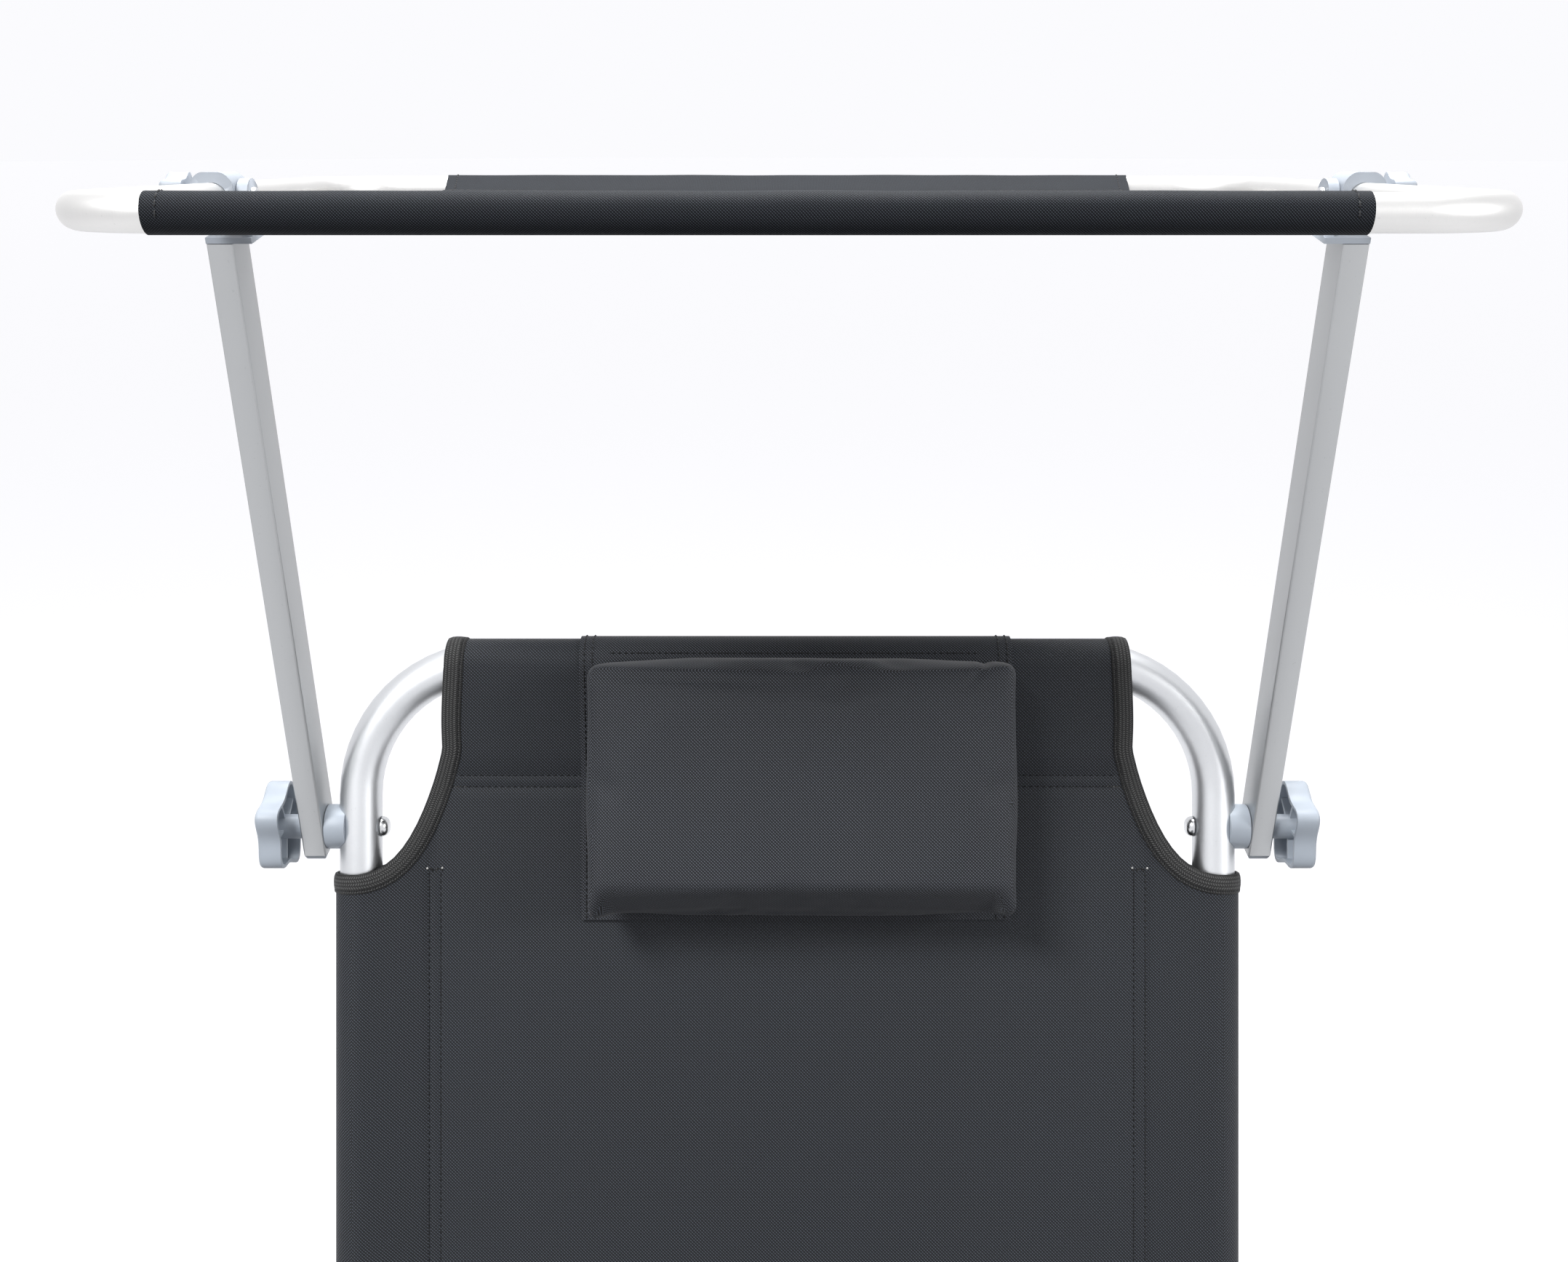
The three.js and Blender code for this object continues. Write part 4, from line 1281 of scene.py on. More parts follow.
@dataclass
class Arms:
    """The two canopy arms with their caps and ears, the saddles and bolts at their pivots, and the knobs."""

    finishes: Finishes
    foot: float = 16 * MM
    cap: float = 3 * MM
    top_gap: float = 20.5 * MM
    ear: float = 9.5 * MM
    ear_wall: float = 5.4 * MM
    ear_outer: float = 272.9 * MM
    saddle: float = 13.4 * MM
    saddle_hug: float = 5.4 * MM
    bolt_head: float = 6.15 * MM
    bolt_height: float = 4.4 * MM
    knob_standoff: float = 9.6 * MM
    knob_depth: float = 13.7 * MM
    knob_radius: float = 27.5 * MM
    knob_lobe: float = 3 * MM
    knob_stem: float = 7.35 * MM
    corner: float = 1.1 * MM
    play: float = 0.15 * MM
    cap_edge: float = 0.5 * MM
    end_edge: float = 0.7 * MM
    saddle_edge: float = 0.35 * MM
    bed_play: float = 0.1 * MM
    bed_reach: float = 20 * MM
    shank: float = 3 * MM
    shank_cover: float = 3.6 * MM
    washer: float = 8.6 * MM
    washer_wall: float = 0.9 * MM
    washer_gap: float = 0.05 * MM

    @property
    def outer(self) -> float:
        """Where the arms' outer faces stand."""
        return SIZES.arm_inner + SIZES.arm_width

    def arm(self) -> Piece:
        """Makes the right-hand arm: a rectangular tube with small radii.

        Returns:
            The arm.
        """
        half = SIZES.arm_depth / 2
        arm = Bench.block("arm", (SIZES.arm_inner, self.cap - self.foot, -half),
                          (self.outer, SIZES.arm_reach - self.top_gap, half))
        Bench.pick(arm, lambda e: abs((e.verts[0].co - e.verts[1].co).y) > 0.1, "EDGE")
        bpy.ops.mesh.bevel(offset=self.corner, segments=4, profile=0.5, affect="EDGES")
        Bench.smooth(arm)
        return dress(arm, self.finishes.arm)

    def foot_cap(self) -> Piece:
        """Makes the right-hand cap that closes an arm's lower end, its corners cut back.

        Returns:
            The cap.
        """
        half = SIZES.arm_depth / 2
        cap = Bench.block("cap", (SIZES.arm_inner + self.play, -self.foot, self.play - half),
                          (self.outer - self.play, self.cap - self.foot - SIZES.gap, half - self.play))
        Bench.pick(cap, lambda f: f.normal.y < -0.9)
        bpy.ops.transform.resize(value=(0.84, 1, 0.9), center_override=(
            SIZES.arm_inner + SIZES.arm_width / 2, -self.foot, 0))
        Bench.round_edges(cap, self.cap_edge, 2, 25)
        return dress(cap, self.finishes.pale)

    def top_end(self) -> Piece:
        """Makes the right-hand end piece: a cap, a neck and a round ear inside the clip.

        Returns:
            The end piece.
        """
        half = SIZES.arm_depth / 2
        start = SIZES.arm_reach - self.top_gap + SIZES.gap
        inner = self.ear_outer - self.ear_wall
        cap = Bench.block("end", (inner, start, -half), (self.outer, start + self.cap, half))
        neck = Bench.block("neck", (inner, start, -self.ear), (self.ear_outer, SIZES.arm_reach, self.ear))
        ear = Bench.rod("ear", self.ear, (inner, SIZES.arm_reach, 0), self.ear_wall)
        Bench.combine(cap, [neck, ear], "UNION")
        Bench.round_edges(cap, self.end_edge, 3, 50)
        return dress(cap, self.finishes.pale)

    def spacer(self) -> Piece:
        """Makes the right-hand saddle between frame and arm, hollowed to sit on the tube.

        Returns:
            The saddle.
        """
        start = SIZES.frame_width / 2 - self.saddle_hug
        saddle = Bench.rod("saddle", self.saddle, (start, 0, 0),
                           SIZES.arm_inner - SIZES.gap - start, RIGHT, 64)
        bed = Bench.rod("bed", SIZES.tube + self.bed_play, (SIZES.side_x, -self.bed_reach, 0),
                        2 * self.bed_reach, AHEAD, 64)
        Bench.combine(saddle, [bed], "DIFFERENCE")
        Bench.round_edges(saddle, self.saddle_edge, 2, 50)
        return dress(saddle, self.finishes.grey)

    def bolt(self) -> Piece:
        """Makes the right-hand pivot bolt with its mushroom head inside the frame.

        Returns:
            The bolt.
        """
        start = SIZES.side_x - SIZES.tube - SIZES.gap
        end = self.outer + self.knob_standoff + self.knob_depth - self.shank_cover
        head = mushroom("head", self.bolt_head, self.bolt_height, (start, 0, 0), -RIGHT, 48)
        washer = Bench.rod("washer", self.washer, (self.outer + self.washer_gap, 0, 0), self.washer_wall)
        return fastener("bolt", self.shank, start, end, self.finishes.zinc, [head, washer])

    def make(self) -> None:
        """Makes both arms and their pivots."""
        for name, model, slot, node in (
                ("arm_bar", self.arm(), "arm_tube", "canopy_arm"),
                ("arm_foot", self.foot_cap(), "grey_plastic", "arm_foot_cap"),
                ("arm_ear", self.top_end(), "grey_plastic", "arm_top_ear")):
            mount_pair(model, name, Place.ARMS, "canopy_arms", slot, node)
        at = Matrix.Translation((0, SIZES.pivot, -SIZES.rise))
        knob = StarKnob("star_knob", self.knob_radius, self.knob_lobe,
                        (self.outer + self.knob_standoff, self.outer + self.knob_standoff + self.knob_depth),
                        (self.knob_stem, self.outer + MM)).make(self.finishes.grey)
        for name, model, body, slot, node in (
                ("pivot_saddle", self.spacer(), "backrest", "grey_plastic", "arm_spacer"),
                ("pivot_bolt", self.bolt(), "backrest", "zinc_fastener", "arm_bolt"),
                ("star_knob", knob, "arm_knob_{}", "grey_plastic", "arm_knob")):
            model.data.transform(at)
            mount_pair(model, name, Place.BACKREST, body, slot, node)


@dataclass
class CanopyFrame:
    """The canopy's two tube bows with the clips, bolts and small knobs that hold the tilt."""

    finishes: Finishes
    clip_length: float = 24 * MM
    clip_side: float = 3 * MM
    clip_top: float = 5 * MM
    skirt: float = 9 * MM
    bolt_head: float = 5.5 * MM
    knob_standoff: float = 4.7 * MM
    knob_depth: float = 11.5 * MM
    ear_inner: float = 267.5 * MM
    wall: float = 1.2 * MM
    arch: float = 6.2 * MM
    play: float = 0.15 * MM
    clip_edge: float = 0.9 * MM
    shank: float = 2.5 * MM
    bolt_height: float = 2.6 * MM
    knob_radius: float = 13 * MM
    knob_lobe: float = 1.5 * MM
    knob_stem: float = 5.5 * MM

    def clip(self) -> Piece:
        """Makes the right-hand clip: an arch over the tube with two straight cheeks.

        Returns:
            The clip.
        """
        side = SIZES.canopy_tube + self.clip_side
        top = SIZES.canopy_tube + self.clip_top
        half = self.clip_length / 2
        clip = Bench.block("clip", (SIZES.canopy_x - side, -half, -self.skirt),
                           (SIZES.canopy_x + side, half, top))
        Bench.pick(clip, lambda e: all(v.co.z > 0 for v in e.verts)
                   and abs((e.verts[0].co - e.verts[1].co).y) > MM, "EDGE")
        bpy.ops.mesh.bevel(offset=self.arch, segments=7, profile=0.42, affect="EDGES")
        reach = SIZES.canopy_tube + self.play
        bore = Bench.rod("bore", reach, (SIZES.canopy_x, -half - MM, 0), self.clip_length + 2 * MM, AHEAD)
        slot = Bench.block("slot", (SIZES.canopy_x - reach, -half - MM, -self.skirt - MM),
                           (SIZES.canopy_x + reach, half + MM, 0))
        Bench.combine(clip, [bore, slot], "DIFFERENCE")
        Bench.round_edges(clip, self.clip_edge, 3, 50)
        return dress(clip, self.finishes.pale)

    def bolt(self) -> Piece:
        """Makes the right-hand tilt bolt with its domed head inside the ear.

        Returns:
            The bolt.
        """
        start = self.ear_inner - SIZES.gap
        end = SIZES.canopy_x + SIZES.canopy_tube + self.clip_side + self.knob_standoff + self.knob_depth / 2
        head = mushroom("head", self.bolt_head, self.bolt_height, (start, 0, 0), -RIGHT)
        return fastener("bolt", self.shank, start, end, self.finishes.zinc, [head])

    def make(self) -> None:
        """Bends both bows and fits the clips, bolts and knobs."""
        joint = self.clip_length / 2 - SIZES.gap
        for name, start, bar, node in (
                ("front_bow_tube", joint, -SIZES.canopy_front, "canopy_front_bow"),
                ("rear_bow_tube", joint + SIZES.gap, SIZES.canopy_rear, "canopy_rear_bow")):
            made = bow(name, SIZES.canopy_x, start, bar, SIZES.canopy_bend, SIZES.canopy_tube, self.wall)
            dress(made, self.finishes.canopy_tube)
            mount(made, Place.CANOPY, "canopy", "canopy_tube", node)
        for name, model, slot, node in (
                ("tilt_clip", self.clip(), "grey_plastic", "canopy_clip"),
                ("tilt_bolt", self.bolt(), "zinc_fastener", "canopy_bolt")):
            mount_pair(model, name, Place.CANOPY, "canopy", slot, node)
        side_x = SIZES.canopy_x + SIZES.canopy_tube + self.clip_side
        rim = (side_x + self.knob_standoff, side_x + self.knob_standoff + self.knob_depth)
        knob = StarKnob("tilt_knob", self.knob_radius, self.knob_lobe, rim,
                        (self.knob_stem, side_x + SIZES.gap), hollow=False).make(self.finishes.pale)
        mount_pair(knob, "tilt_knob", Place.CANOPY, "canopy_knob_{}", "grey_plastic", "canopy_knob")


def smooth_step(t: float) -> float:
    """Runs smoothly from 0 to 1 as t does, and stays there outside."""
    t = min(1.0, max(0.0, t))
    return t * t * (3 - 2 * t)


def spread(start: float, end: float, step: float) -> list[float]:
    """Gives evenly spaced places from start to end, both included, about a step apart."""
    count = max(1, round(abs(end - start) / step))
    return [start + (end - start) * number / count for number in range(count + 1)]


def between(value: float, low: float, high: float, first: float, last: float) -> float:
    """Gives the place from first to last that a value has from low to high."""
    return first + (value - low) / (high - low) * (last - first)


Flat = tuple[float, float]
FlatShape = Callable[..., Vector]


def walk(path: Sequence[Flat]) -> Iterable[tuple[Vector, Vector, float]]:
    """Gives each place of a path, the way into the cloth on its right, and how far along it lies.

    Args:
        path: Places on the flat cloth.

    Returns:
        Each place as a point, the way in and the length so far.
    """
    places = [Vector((u, v, 0)) for u, v in path]
    gone = 0.0
    for number, here in enumerate(places):
        before = places[max(0, number - 1)]
        after = places[min(len(places) - 1, number + 1)]
        gone += (here - before).length
        along = (after - before).normalized()
        yield here, Vector((along.y, -along.x, 0)), gone


@dataclass
class Surface:
    """A mesh under construction, with the flat place of each vertex on the cloth."""

    points: list[Vector] = field(default_factory=list)
    flats: list[Flat] = field(default_factory=list)
    faces: list[tuple[int, ...]] = field(default_factory=list)

    def grid(self, rows: Sequence[Sequence[Flat]], shape: FlatShape) -> None:
        """Adds a grid of faces.

        Args:
            rows: Flat places, row by row, each row as long as the others.
            shape: Gives the point of a flat place.
        """
        width = len(rows[0])
        starts = [self.row([(shape(*flat), flat) for flat in row]) for row in rows]
        for start in starts[:-1]:
            for a in range(start, start + width - 1):
                self.faces.append((a, a + 1, a + width + 1, a + width))

    def row(self, row: Sequence[tuple[Vector, Flat]]) -> int:
        """Adds a row of points with their flat places, and gives the number of its first.

        Args:
            row: Points, each with its flat place.

        Returns:
            The first one's number.
        """
        start = len(self.points)
        self.points += [point for point, _ in row]
        self.flats += [flat for _, flat in row]
        return start

    def rings(self, rings: Sequence[Sequence[tuple[Vector, Flat]]]) -> None:
        """Adds a closed skin over rings of points, with both ends capped.

        Args:
            rings: Rings of points, each with its flat place.
        """
        width = len(rings[0])
        starts = [self.row(ring) for ring in rings]
        for start in starts[:-1]:
            for j in range(width):
                a, b = start + j, start + (j + 1) % width
                self.faces.append((a, b, b + width, a + width))
        for start in (starts[0], starts[-1]):
            self.faces.append(tuple(range(start, start + width)))

    def flat_area(self) -> float:
        """Adds up the area of the faces on the flat cloth.

        Returns:
            The area.
        """
        total = 0.0
        for face in self.faces:
            corners = [self.flats[number] for number in face]
            following = corners[1:] + corners[:1]
            total += abs(sum(a[0] * b[1] - b[0] * a[1] for a, b in zip(corners, following))) / 2
        return total

    def build(self, name: str) -> Piece:
        """Makes the object, with its flat places as a UV map in metres.

        Args:
            name: Its name.

        Returns:
            The object.
        """
        mesh = bpy.data.meshes.new(name)
        mesh.from_pydata(self.points, [], self.faces)
        layer = mesh.uv_layers.new(name="flat")
        for loop in mesh.loops:
            layer.data[loop.index].uv = self.flats[loop.vertex_index]
        piece = bpy.data.objects.new(name, mesh)
        bpy.context.collection.objects.link(piece)
        return piece

    def sheet(self, name: str, thick: float, material: Material) -> Piece:
        """Makes a cloth of the surface, its outer face.

        Args:
            name: Its name.
            thick: Its thickness.
            material: Its finish.

        Returns:
            The cloth.
        """
        piece = Bench.modify(self.build(name), "SOLIDIFY", thickness=thick, offset=-1)
        return dress(Bench.smooth(piece, 70), material)

    def trim(self, name: str, material: Material, angle: float = 60) -> Piece:
        """Makes a trim of the surface, its faces turned outwards.

        Args:
            name: Its name.
            material: Its finish.
            angle: Edges sharper than this many degrees stay sharp, all of them where it is zero.

        Returns:
            The trim.
        """
        piece = Bench.merge(self.build(name))
        if angle:
            Bench.smooth(piece, angle)
        return dress(piece, material)


@dataclass
class Cloth:
    """A folded cloth, whose outer face is given point by point."""

    finishes: Finishes

    def face(self, u: float, v: float) -> Vector:
        """Gives the point of a flat place on the outer face."""
        raise NotImplementedError

    def shape(self, u: float, v: float, lift: float = 0.0) -> Vector:
        """Gives the point of a flat place, in the frame of the cloth's group.

        Args:
            u: Flat place across.
            v: Flat place along.
            lift: Height over the outer face.

        Returns:
            The point.
        """
        if not lift:
            return self.face(u, v)
        step = 0.4 * MM
        ahead = self.face(u + step, v) - self.face(u - step, v)
        beside = self.face(u, v + step) - self.face(u, v - step)
        return self.face(u, v) + ahead.cross(beside).normalized() * lift


@dataclass
class SleeveRoute:
    """Where a sheet runs off a panel, over a tube, and back behind to its seam."""

    seam: float
    tube: float
    radius: float = 14.7 * MM
    lift: float = 0.9 * MM
    hem: float = 7 * MM
    rows: tuple[float, ...] = (-4.4, -3.5, -2.6, 0.0, 2.6, 3.5, 4.4)
    clear: float = 9 * MM
    step: float = 7 * MM
    round_step: float = 2.7 * MM

    def __post_init__(self) -> None:
        """Works out the straight run, the wrap and the flat length of the cloth."""
        away = self.tube - self.seam
        self.slope = math.asin((self.radius - self.lift) / away)
        self.straight = away * math.cos(self.slope)
        self.wrap = self.radius * (QUARTER + self.slope)
        self.edge = self.seam + self.straight + self.wrap
        self.end = 2 * self.edge - self.seam + self.hem

    def place(self, flat: float) -> tuple[float, float]:
        """Gives where a flat distance from the panel's middle lies.

        Args:
            flat: The distance on the flat cloth.

        Returns:
            How far out it lies, and its height over the tubes' plane.
        """
        front = flat <= self.edge
        distance = flat if front else 2 * self.edge - flat
        if distance <= self.seam:
            at, height = distance, self.lift
        elif distance <= self.seam + self.straight:
            run = distance - self.seam
            at, height = self.seam + run * math.cos(self.slope), self.lift + run * math.sin(self.slope)
        else:
            angle = (self.edge - distance) / self.radius
            at = self.tube + self.radius * math.cos(angle)
            height = self.radius * math.sin(angle)
        return at, height if front else -height

    def seam_lines(self) -> list[float]:
        """Gives the grid lines that shape the double seam."""
        return [self.seam + offset * MM for offset in self.rows]

    def over_lines(self) -> list[float]:
        """Gives the grid lines from beyond the seam, round the tube and back to the hem.

        Returns:
            Flat distances.
        """
        tangent = self.seam + self.straight
        lines = spread(self.seam + self.clear, tangent, self.step)
        lines += spread(tangent, 2 * self.edge - tangent, self.round_step)[1:]
        return lines + spread(2 * self.edge - tangent, self.end, self.step)[1:]


@dataclass
class Tape:
    """Ribbed tape folded over a cut edge. Its profile has shares of its width and heights in millimetres."""

    shape: FlatShape
    width: float = 11 * MM
    back: float = 20 * MM
    profile: tuple[Flat, ...] = (
        (1.0, -0.5), (1.0, 0.35), (0.97, 0.8), (0.9, 0.95), (0.845, 0.75), (0.79, 1.0), (0.6, 1.3),
        (0.35, 1.35), (0.12, 1.1), (-0.03, 0.5), (-0.07, -0.3), (-0.05, -1.1), (0.08, -1.5),
        (0.5, -1.55), (0.95, -1.45))

    def fold(self, surface: Surface, path: Sequence[Flat], side: int, press: float) -> None:
        """Folds the tape over an edge.

        Args:
            surface: The mesh that it is added to.
            path: The edge on the flat cloth, which lies on the right of it.
            side: The side of the lounger, -1 or 1, to which the path is mirrored.
            press: Share that is left of its height over the cloth.
        """
        rings = []
        for here, inward, gone in walk(path):
            ring = []
            for share, lift in self.profile:
                spot = here + inward * share * self.width
                height = lift * MM * (press if lift > 0 else 1.0)
                point = self.shape(side * spot.x, spot.y, height)
                flat = share * self.width + (self.back if lift < 0 else 0)
                ring.append((point, (flat, gone)))
            rings.append(ring)
        surface.rings(rings)


@dataclass
class Stitching:
    """Sewn rows of short stitches that lie on a cloth."""

    shape: FlatShape
    stitch: float = 3.1 * MM
    gap: float = 0.9 * MM
    thread: float = 0.48 * MM

    def sew(self, surface: Surface, path: Sequence[Flat], lift: float = 0.1 * MM,
            stitch: float = 0.0) -> None:
        """Sews along a path.

        Args:
            surface: The mesh that the stitches are added to.
            path: The row on the flat cloth.
            lift: Height of the row over the cloth's outer face, negative at the back.
            stitch: Length of a stitch, or zero for the usual one.
        """
        length = stitch or self.stitch
        places = [Vector((u, v, 0)) for u, v in path]
        rest = 0.0
        for a, b in zip(places, places[1:]):
            span = (b - a).length
            at = rest
            while at < span:
                middle = a + (b - a) * (at / span)
                self.add(surface, middle, (b - a).normalized() * length / 2, lift)
                at += length + self.gap
            rest = at - span

    def add(self, surface: Surface, middle: Vector, reach: Vector, lift: float) -> None:
        """Adds one stitch, whose ends dive into the cloth.

        Args:
            surface: The mesh that it is added to.
            middle: Its middle on the flat cloth.
            reach: The way from there to its end.
            lift: Its height over the outer face.
        """
        sign = -1 if lift < 0 else 1
        rings = []
        for share, rise, size in ((-1.0, -0.5, 0.35), (-0.6, 0.4, 0.95), (0.6, 0.4, 0.95), (1.0, -0.5, 0.35)):
            spot = middle + reach * share
            centre = self.shape(spot.x, spot.y, lift + sign * rise * self.thread)
            beside = reach.cross(Vector((0, 0, 1))).normalized() * self.thread
            edge = self.shape(spot.x + beside.x, spot.y + beside.y, lift + sign * rise * self.thread) - centre
            over = self.shape(spot.x, spot.y, lift + sign * (rise + 1) * self.thread) - centre
            flat = (spot.x, spot.y)
            rings.append([(centre + edge * size, flat), (centre + over * size, flat),
                          (centre - edge * size, flat), (centre - over * size, flat)])
        surface.rings(rings)


@dataclass
class Sling(Cloth):
    """One end section's cloth with its half of the seat's: panel, sleeves, cut-aways, binding and seams."""

    word: str
    length: float
    rivet: float
    body: str
    place: Place
    rest_angle: float
    replaced: list[str]
    tubes: list[str]
    panel: float = 207 * MM
    panel_top: float = 203.5 * MM
    side_seam: float = 212.8 * MM
    top_seam: float = 84.5 * MM
    cut_top: float = 140 * MM
    corner: float = 75 * MM
    corner_reach: float = 61 * MM
    corner_power: float = 3.1
    hinge_cut: float = 119 * MM
    hinge_corner: float = 60 * MM
    near_press: float = 0.37
    middle: float = 260 * MM
    bend_reach: float = 30 * MM
    thick: float = 0.8 * MM
    window: float = 10 * MM
    row: float = 3.5 * MM
    tape_row: float = 9.3 * MM
    tape_lift: float = 0.45 * MM
    tape_step: float = 3 * MM
    top_radius: float = 14 * MM
    taper_start: float = 10 * MM
    taper: float = 60 * MM
    swell: float = 1.2 * MM
    sag: float = 1.8 * MM
    calm_reach: float = 60 * MM
    sag_reach: float = 150 * MM
    dip: float = 0.5 * MM
    dip_reach: float = 0.9 * MM
    dip_end: float = 3 * MM
    dip_band: float = 12 * MM
    mesh: float = 8 * MM
    bend_mesh: float = 5 * MM
    weld: float = 0.02 * MM
    cutter: float = 25 * MM
    seam_step: float = 20 * MM
    seam_top: float = 2 * MM
    seam_inset: float = 10.5 * MM
    seam_near: float = 4 * MM
    seam_seat: float = 6 * MM
    tack: float = 4 * MM
    tack_near: float = 3 * MM
    tack_row: float = 0.5 * MM
    tack_stitch: float = 2 * MM
    knot: float = 0.55 * MM
    knot_reach: float = 0.7 * MM
    knot_lift: float = 0.15 * MM
    knot_place: float = 3 * MM

    def __post_init__(self) -> None:
        """Works out the sleeves' routes."""
        self.side = SleeveRoute(self.side_seam, SIZES.side_x)
        self.top = SleeveRoute(self.length - self.top_seam, self.length - SIZES.tube, radius=self.top_radius)

    def panel_edge(self, v: float) -> float:
        """Gives the half width of the panel at a flat place along it."""
        start = self.length - self.cut_top + self.corner + self.taper_start
        return self.panel + (self.panel_top - self.panel) * smooth_step((v - start) / self.taper)

    def fall(self, u: float) -> float:
        """Gives how far a cut-away still has to fall at a flat place across, from 1 at the panel to 0.

        Args:
            u: The flat place.

        Returns:
            The share that is left.
        """
        flat = abs(u)
        if flat > self.side.edge:
            flat = 2 * self.side.edge - flat
        share = min(1.0, max(0.0, (flat - self.panel) / self.corner_reach))
        return (1 - share) ** self.corner_power

    def far_cut(self, u: float) -> float:
        """Gives where the side sleeve ends towards the bent corner."""
        return self.length - self.cut_top + self.corner * self.fall(u)

    def near_cut(self, u: float) -> float:
        """Gives where the side sleeve starts next to the hinge."""
        return self.hinge_cut - self.hinge_corner * self.fall(u)

    def face(self, u: float, v: float) -> Vector:
        """Gives the point of a flat place on the outer face, negative along on the seat.

        Args:
            u: Flat place across.
            v: Flat place along.

        Returns:
            The point.
        """
        sign = -1 if u < 0 else 1
        x, height = self.side.place(abs(u))
        y = v
        if v > self.top.seam and abs(u) < self.side.edge:
            y, top_height = self.top.place(v)
            height = top_height if abs(u) <= self.side.seam else max(height, top_height)
        point = Vector((sign * x, y, height + self.relief(u, v) - SIZES.rise))
        share = smooth_step((v + self.bend_reach) / (2 * self.bend_reach))
        if self.rest_angle and share < 1:
            point = Matrix.Rotation((share - 1) * self.rest_angle, 3, "X") @ point
        return point

    def relief(self, u: float, v: float) -> float:
        """Gives the small swells and dips of a taut cloth and its seams.

        Args:
            u: Flat place across.
            v: Flat place along.

        Returns:
            The height.
        """
        calm = smooth_step((self.side_seam - abs(u)) / self.calm_reach)
        swell = noise.noise(Vector((u * 7, v * 5, self.length * 9))) * self.swell * calm
        swell -= self.sag * calm * smooth_step((self.top.seam - v) / self.sag_reach)
        dent = 0.0
        if abs(u) < self.side.edge and self.hinge_cut < v < self.length - self.cut_top + self.dip_end:
            dent += self.groove(abs(u) - self.side_seam, u, v)
        if abs(u) < self.panel and abs(v - self.top.seam) < self.dip_band:
            dent += self.groove(v - self.top.seam, v, u)
        return swell + dent

    def groove(self, offset: float, across: float, along: float) -> float:
        """Gives the dips of a double seam and the puckered band between its two rows.

        Args:
            offset: Distance from the middle of the double seam.
            across: Place across the seam.
            along: Place along it.

        Returns:
            The height.
        """
        rows = min(abs(offset - self.row), abs(offset + self.row))
        dip = -self.dip * max(0.0, 1 - rows / self.dip_reach)
        band = max(0.0, 1 - abs(offset) / self.row)
        pucker = noise.noise(Vector((along * 160, across * 40, 3.1)))
        return dip + band * (0.25 + 0.35 * pucker) * MM

    def cloth(self) -> tuple[Piece, float]:
        """Cuts and folds the cloth.

        Returns:
            The cloth, and its area when it lies flat.
        """
        surface = Surface()
        low, high = self.near_cut(self.panel), self.far_cut(self.panel)
        seam = [v for v in self.top.seam_lines() if v < high - MM]
        run = spread(low, seam[0], self.mesh)[:-1] + seam + [high]
        seat = spread(-self.middle, -low, self.mesh)
        top = [v for v in self.top.over_lines() if v > high + MM]
        lines = seat[:-1] + spread(-low, low, self.bend_mesh) + run[1:] + top
        across = spread(-1, 1, self.mesh / self.panel)
        surface.grid([[(share * self.panel_edge(v), v) for share in across] for v in lines], self.shape)
        seam = [u for u in self.side.seam_lines() if u > self.panel + MM]
        sleeve = [self.panel, *seam, *self.side.over_lines()]
        for sign in (-1, 1):
            columns = sleeve if sign > 0 else [-u for u in reversed(sleeve)]
            surface.grid([[(u, between(v, low, high, self.near_cut(u), self.far_cut(u)))
                           for u in columns] for v in run], self.shape)
            surface.grid([[(u, between(v, -self.middle, -low, -self.middle, -self.near_cut(u)))
                           for u in columns] for v in seat], self.shape)
        piece = Bench.merge(surface.build(f"{self.word}_sling"), self.weld, False)
        Bench.modify(piece, "SOLIDIFY", thickness=self.thick, offset=-1)
        self.cut_windows(piece)
        Bench.smooth(piece, 70)
        dress(piece, self.finishes.cloth)
        return piece, surface.flat_area()

    def cut_windows(self, piece: Piece) -> None:
        """Cuts the round windows where the leg's rivets pass through the sleeves.

        Args:
            piece: The cloth.
        """
        for side in Side:
            start = side.value * SIZES.side_x - (0 if side is Side.RIGHT else self.cutter)
            window = Bench.rod("window", self.window, (start, self.rivet, -SIZES.rise), self.cutter,
                               RIGHT, 32)
            Bench.combine(piece, [window], "DIFFERENCE")

    def edge_paths(self) -> list[list[Flat]]:
        """Gives the right-hand cut edges on the flat cloth, each from behind the tubes to behind them.

        Returns:
            The edge towards the bent corner, and the one round the hinge.
        """
        high, low = self.far_cut(self.panel), self.near_cut(self.panel)
        down = [*reversed(spread(self.top.seam, self.top.end, self.tape_step)[1:])]
        if high < self.top.seam:
            down += reversed(spread(high, self.top.seam, self.tape_step)[1:])
        top = [(self.panel_edge(v), v) for v in down if v > high]
        steps = [self.panel + self.corner_reach * share for share in
                 (0.01, 0.03, 0.06, 0.1, 0.15, 0.2, 0.26, 0.33, 0.4, 0.48, 0.57, 0.66)]
        wrap = spread(self.panel + 0.74 * self.corner_reach,
                      2 * self.side.edge - self.panel - 0.74 * self.corner_reach, self.tape_step)
        around = [*steps, *wrap, *[2 * self.side.edge - u for u in reversed(steps)]]
        bridge = [(self.panel, v) for v in spread(low, -low, self.bend_mesh)]
        near = [(u, self.near_cut(u)) for u in reversed(around)] + bridge
        return [top + [(u, self.far_cut(u)) for u in around],
                near + [(u, -self.near_cut(u)) for u in around]]

    def bindings(self) -> Piece:
        """Folds ribbed tape over every cut edge.

        Returns:
            The bindings.
        """
        surface, tape = Surface(), Tape(self.shape)
        for side in Side:
            for path, press in zip(self.edge_paths(), (1.0, self.near_press)):
                tape.fold(surface, path, side.value, press)
        return surface.trim(f"{self.word}_sling_binding", self.finishes.webbing, 50)

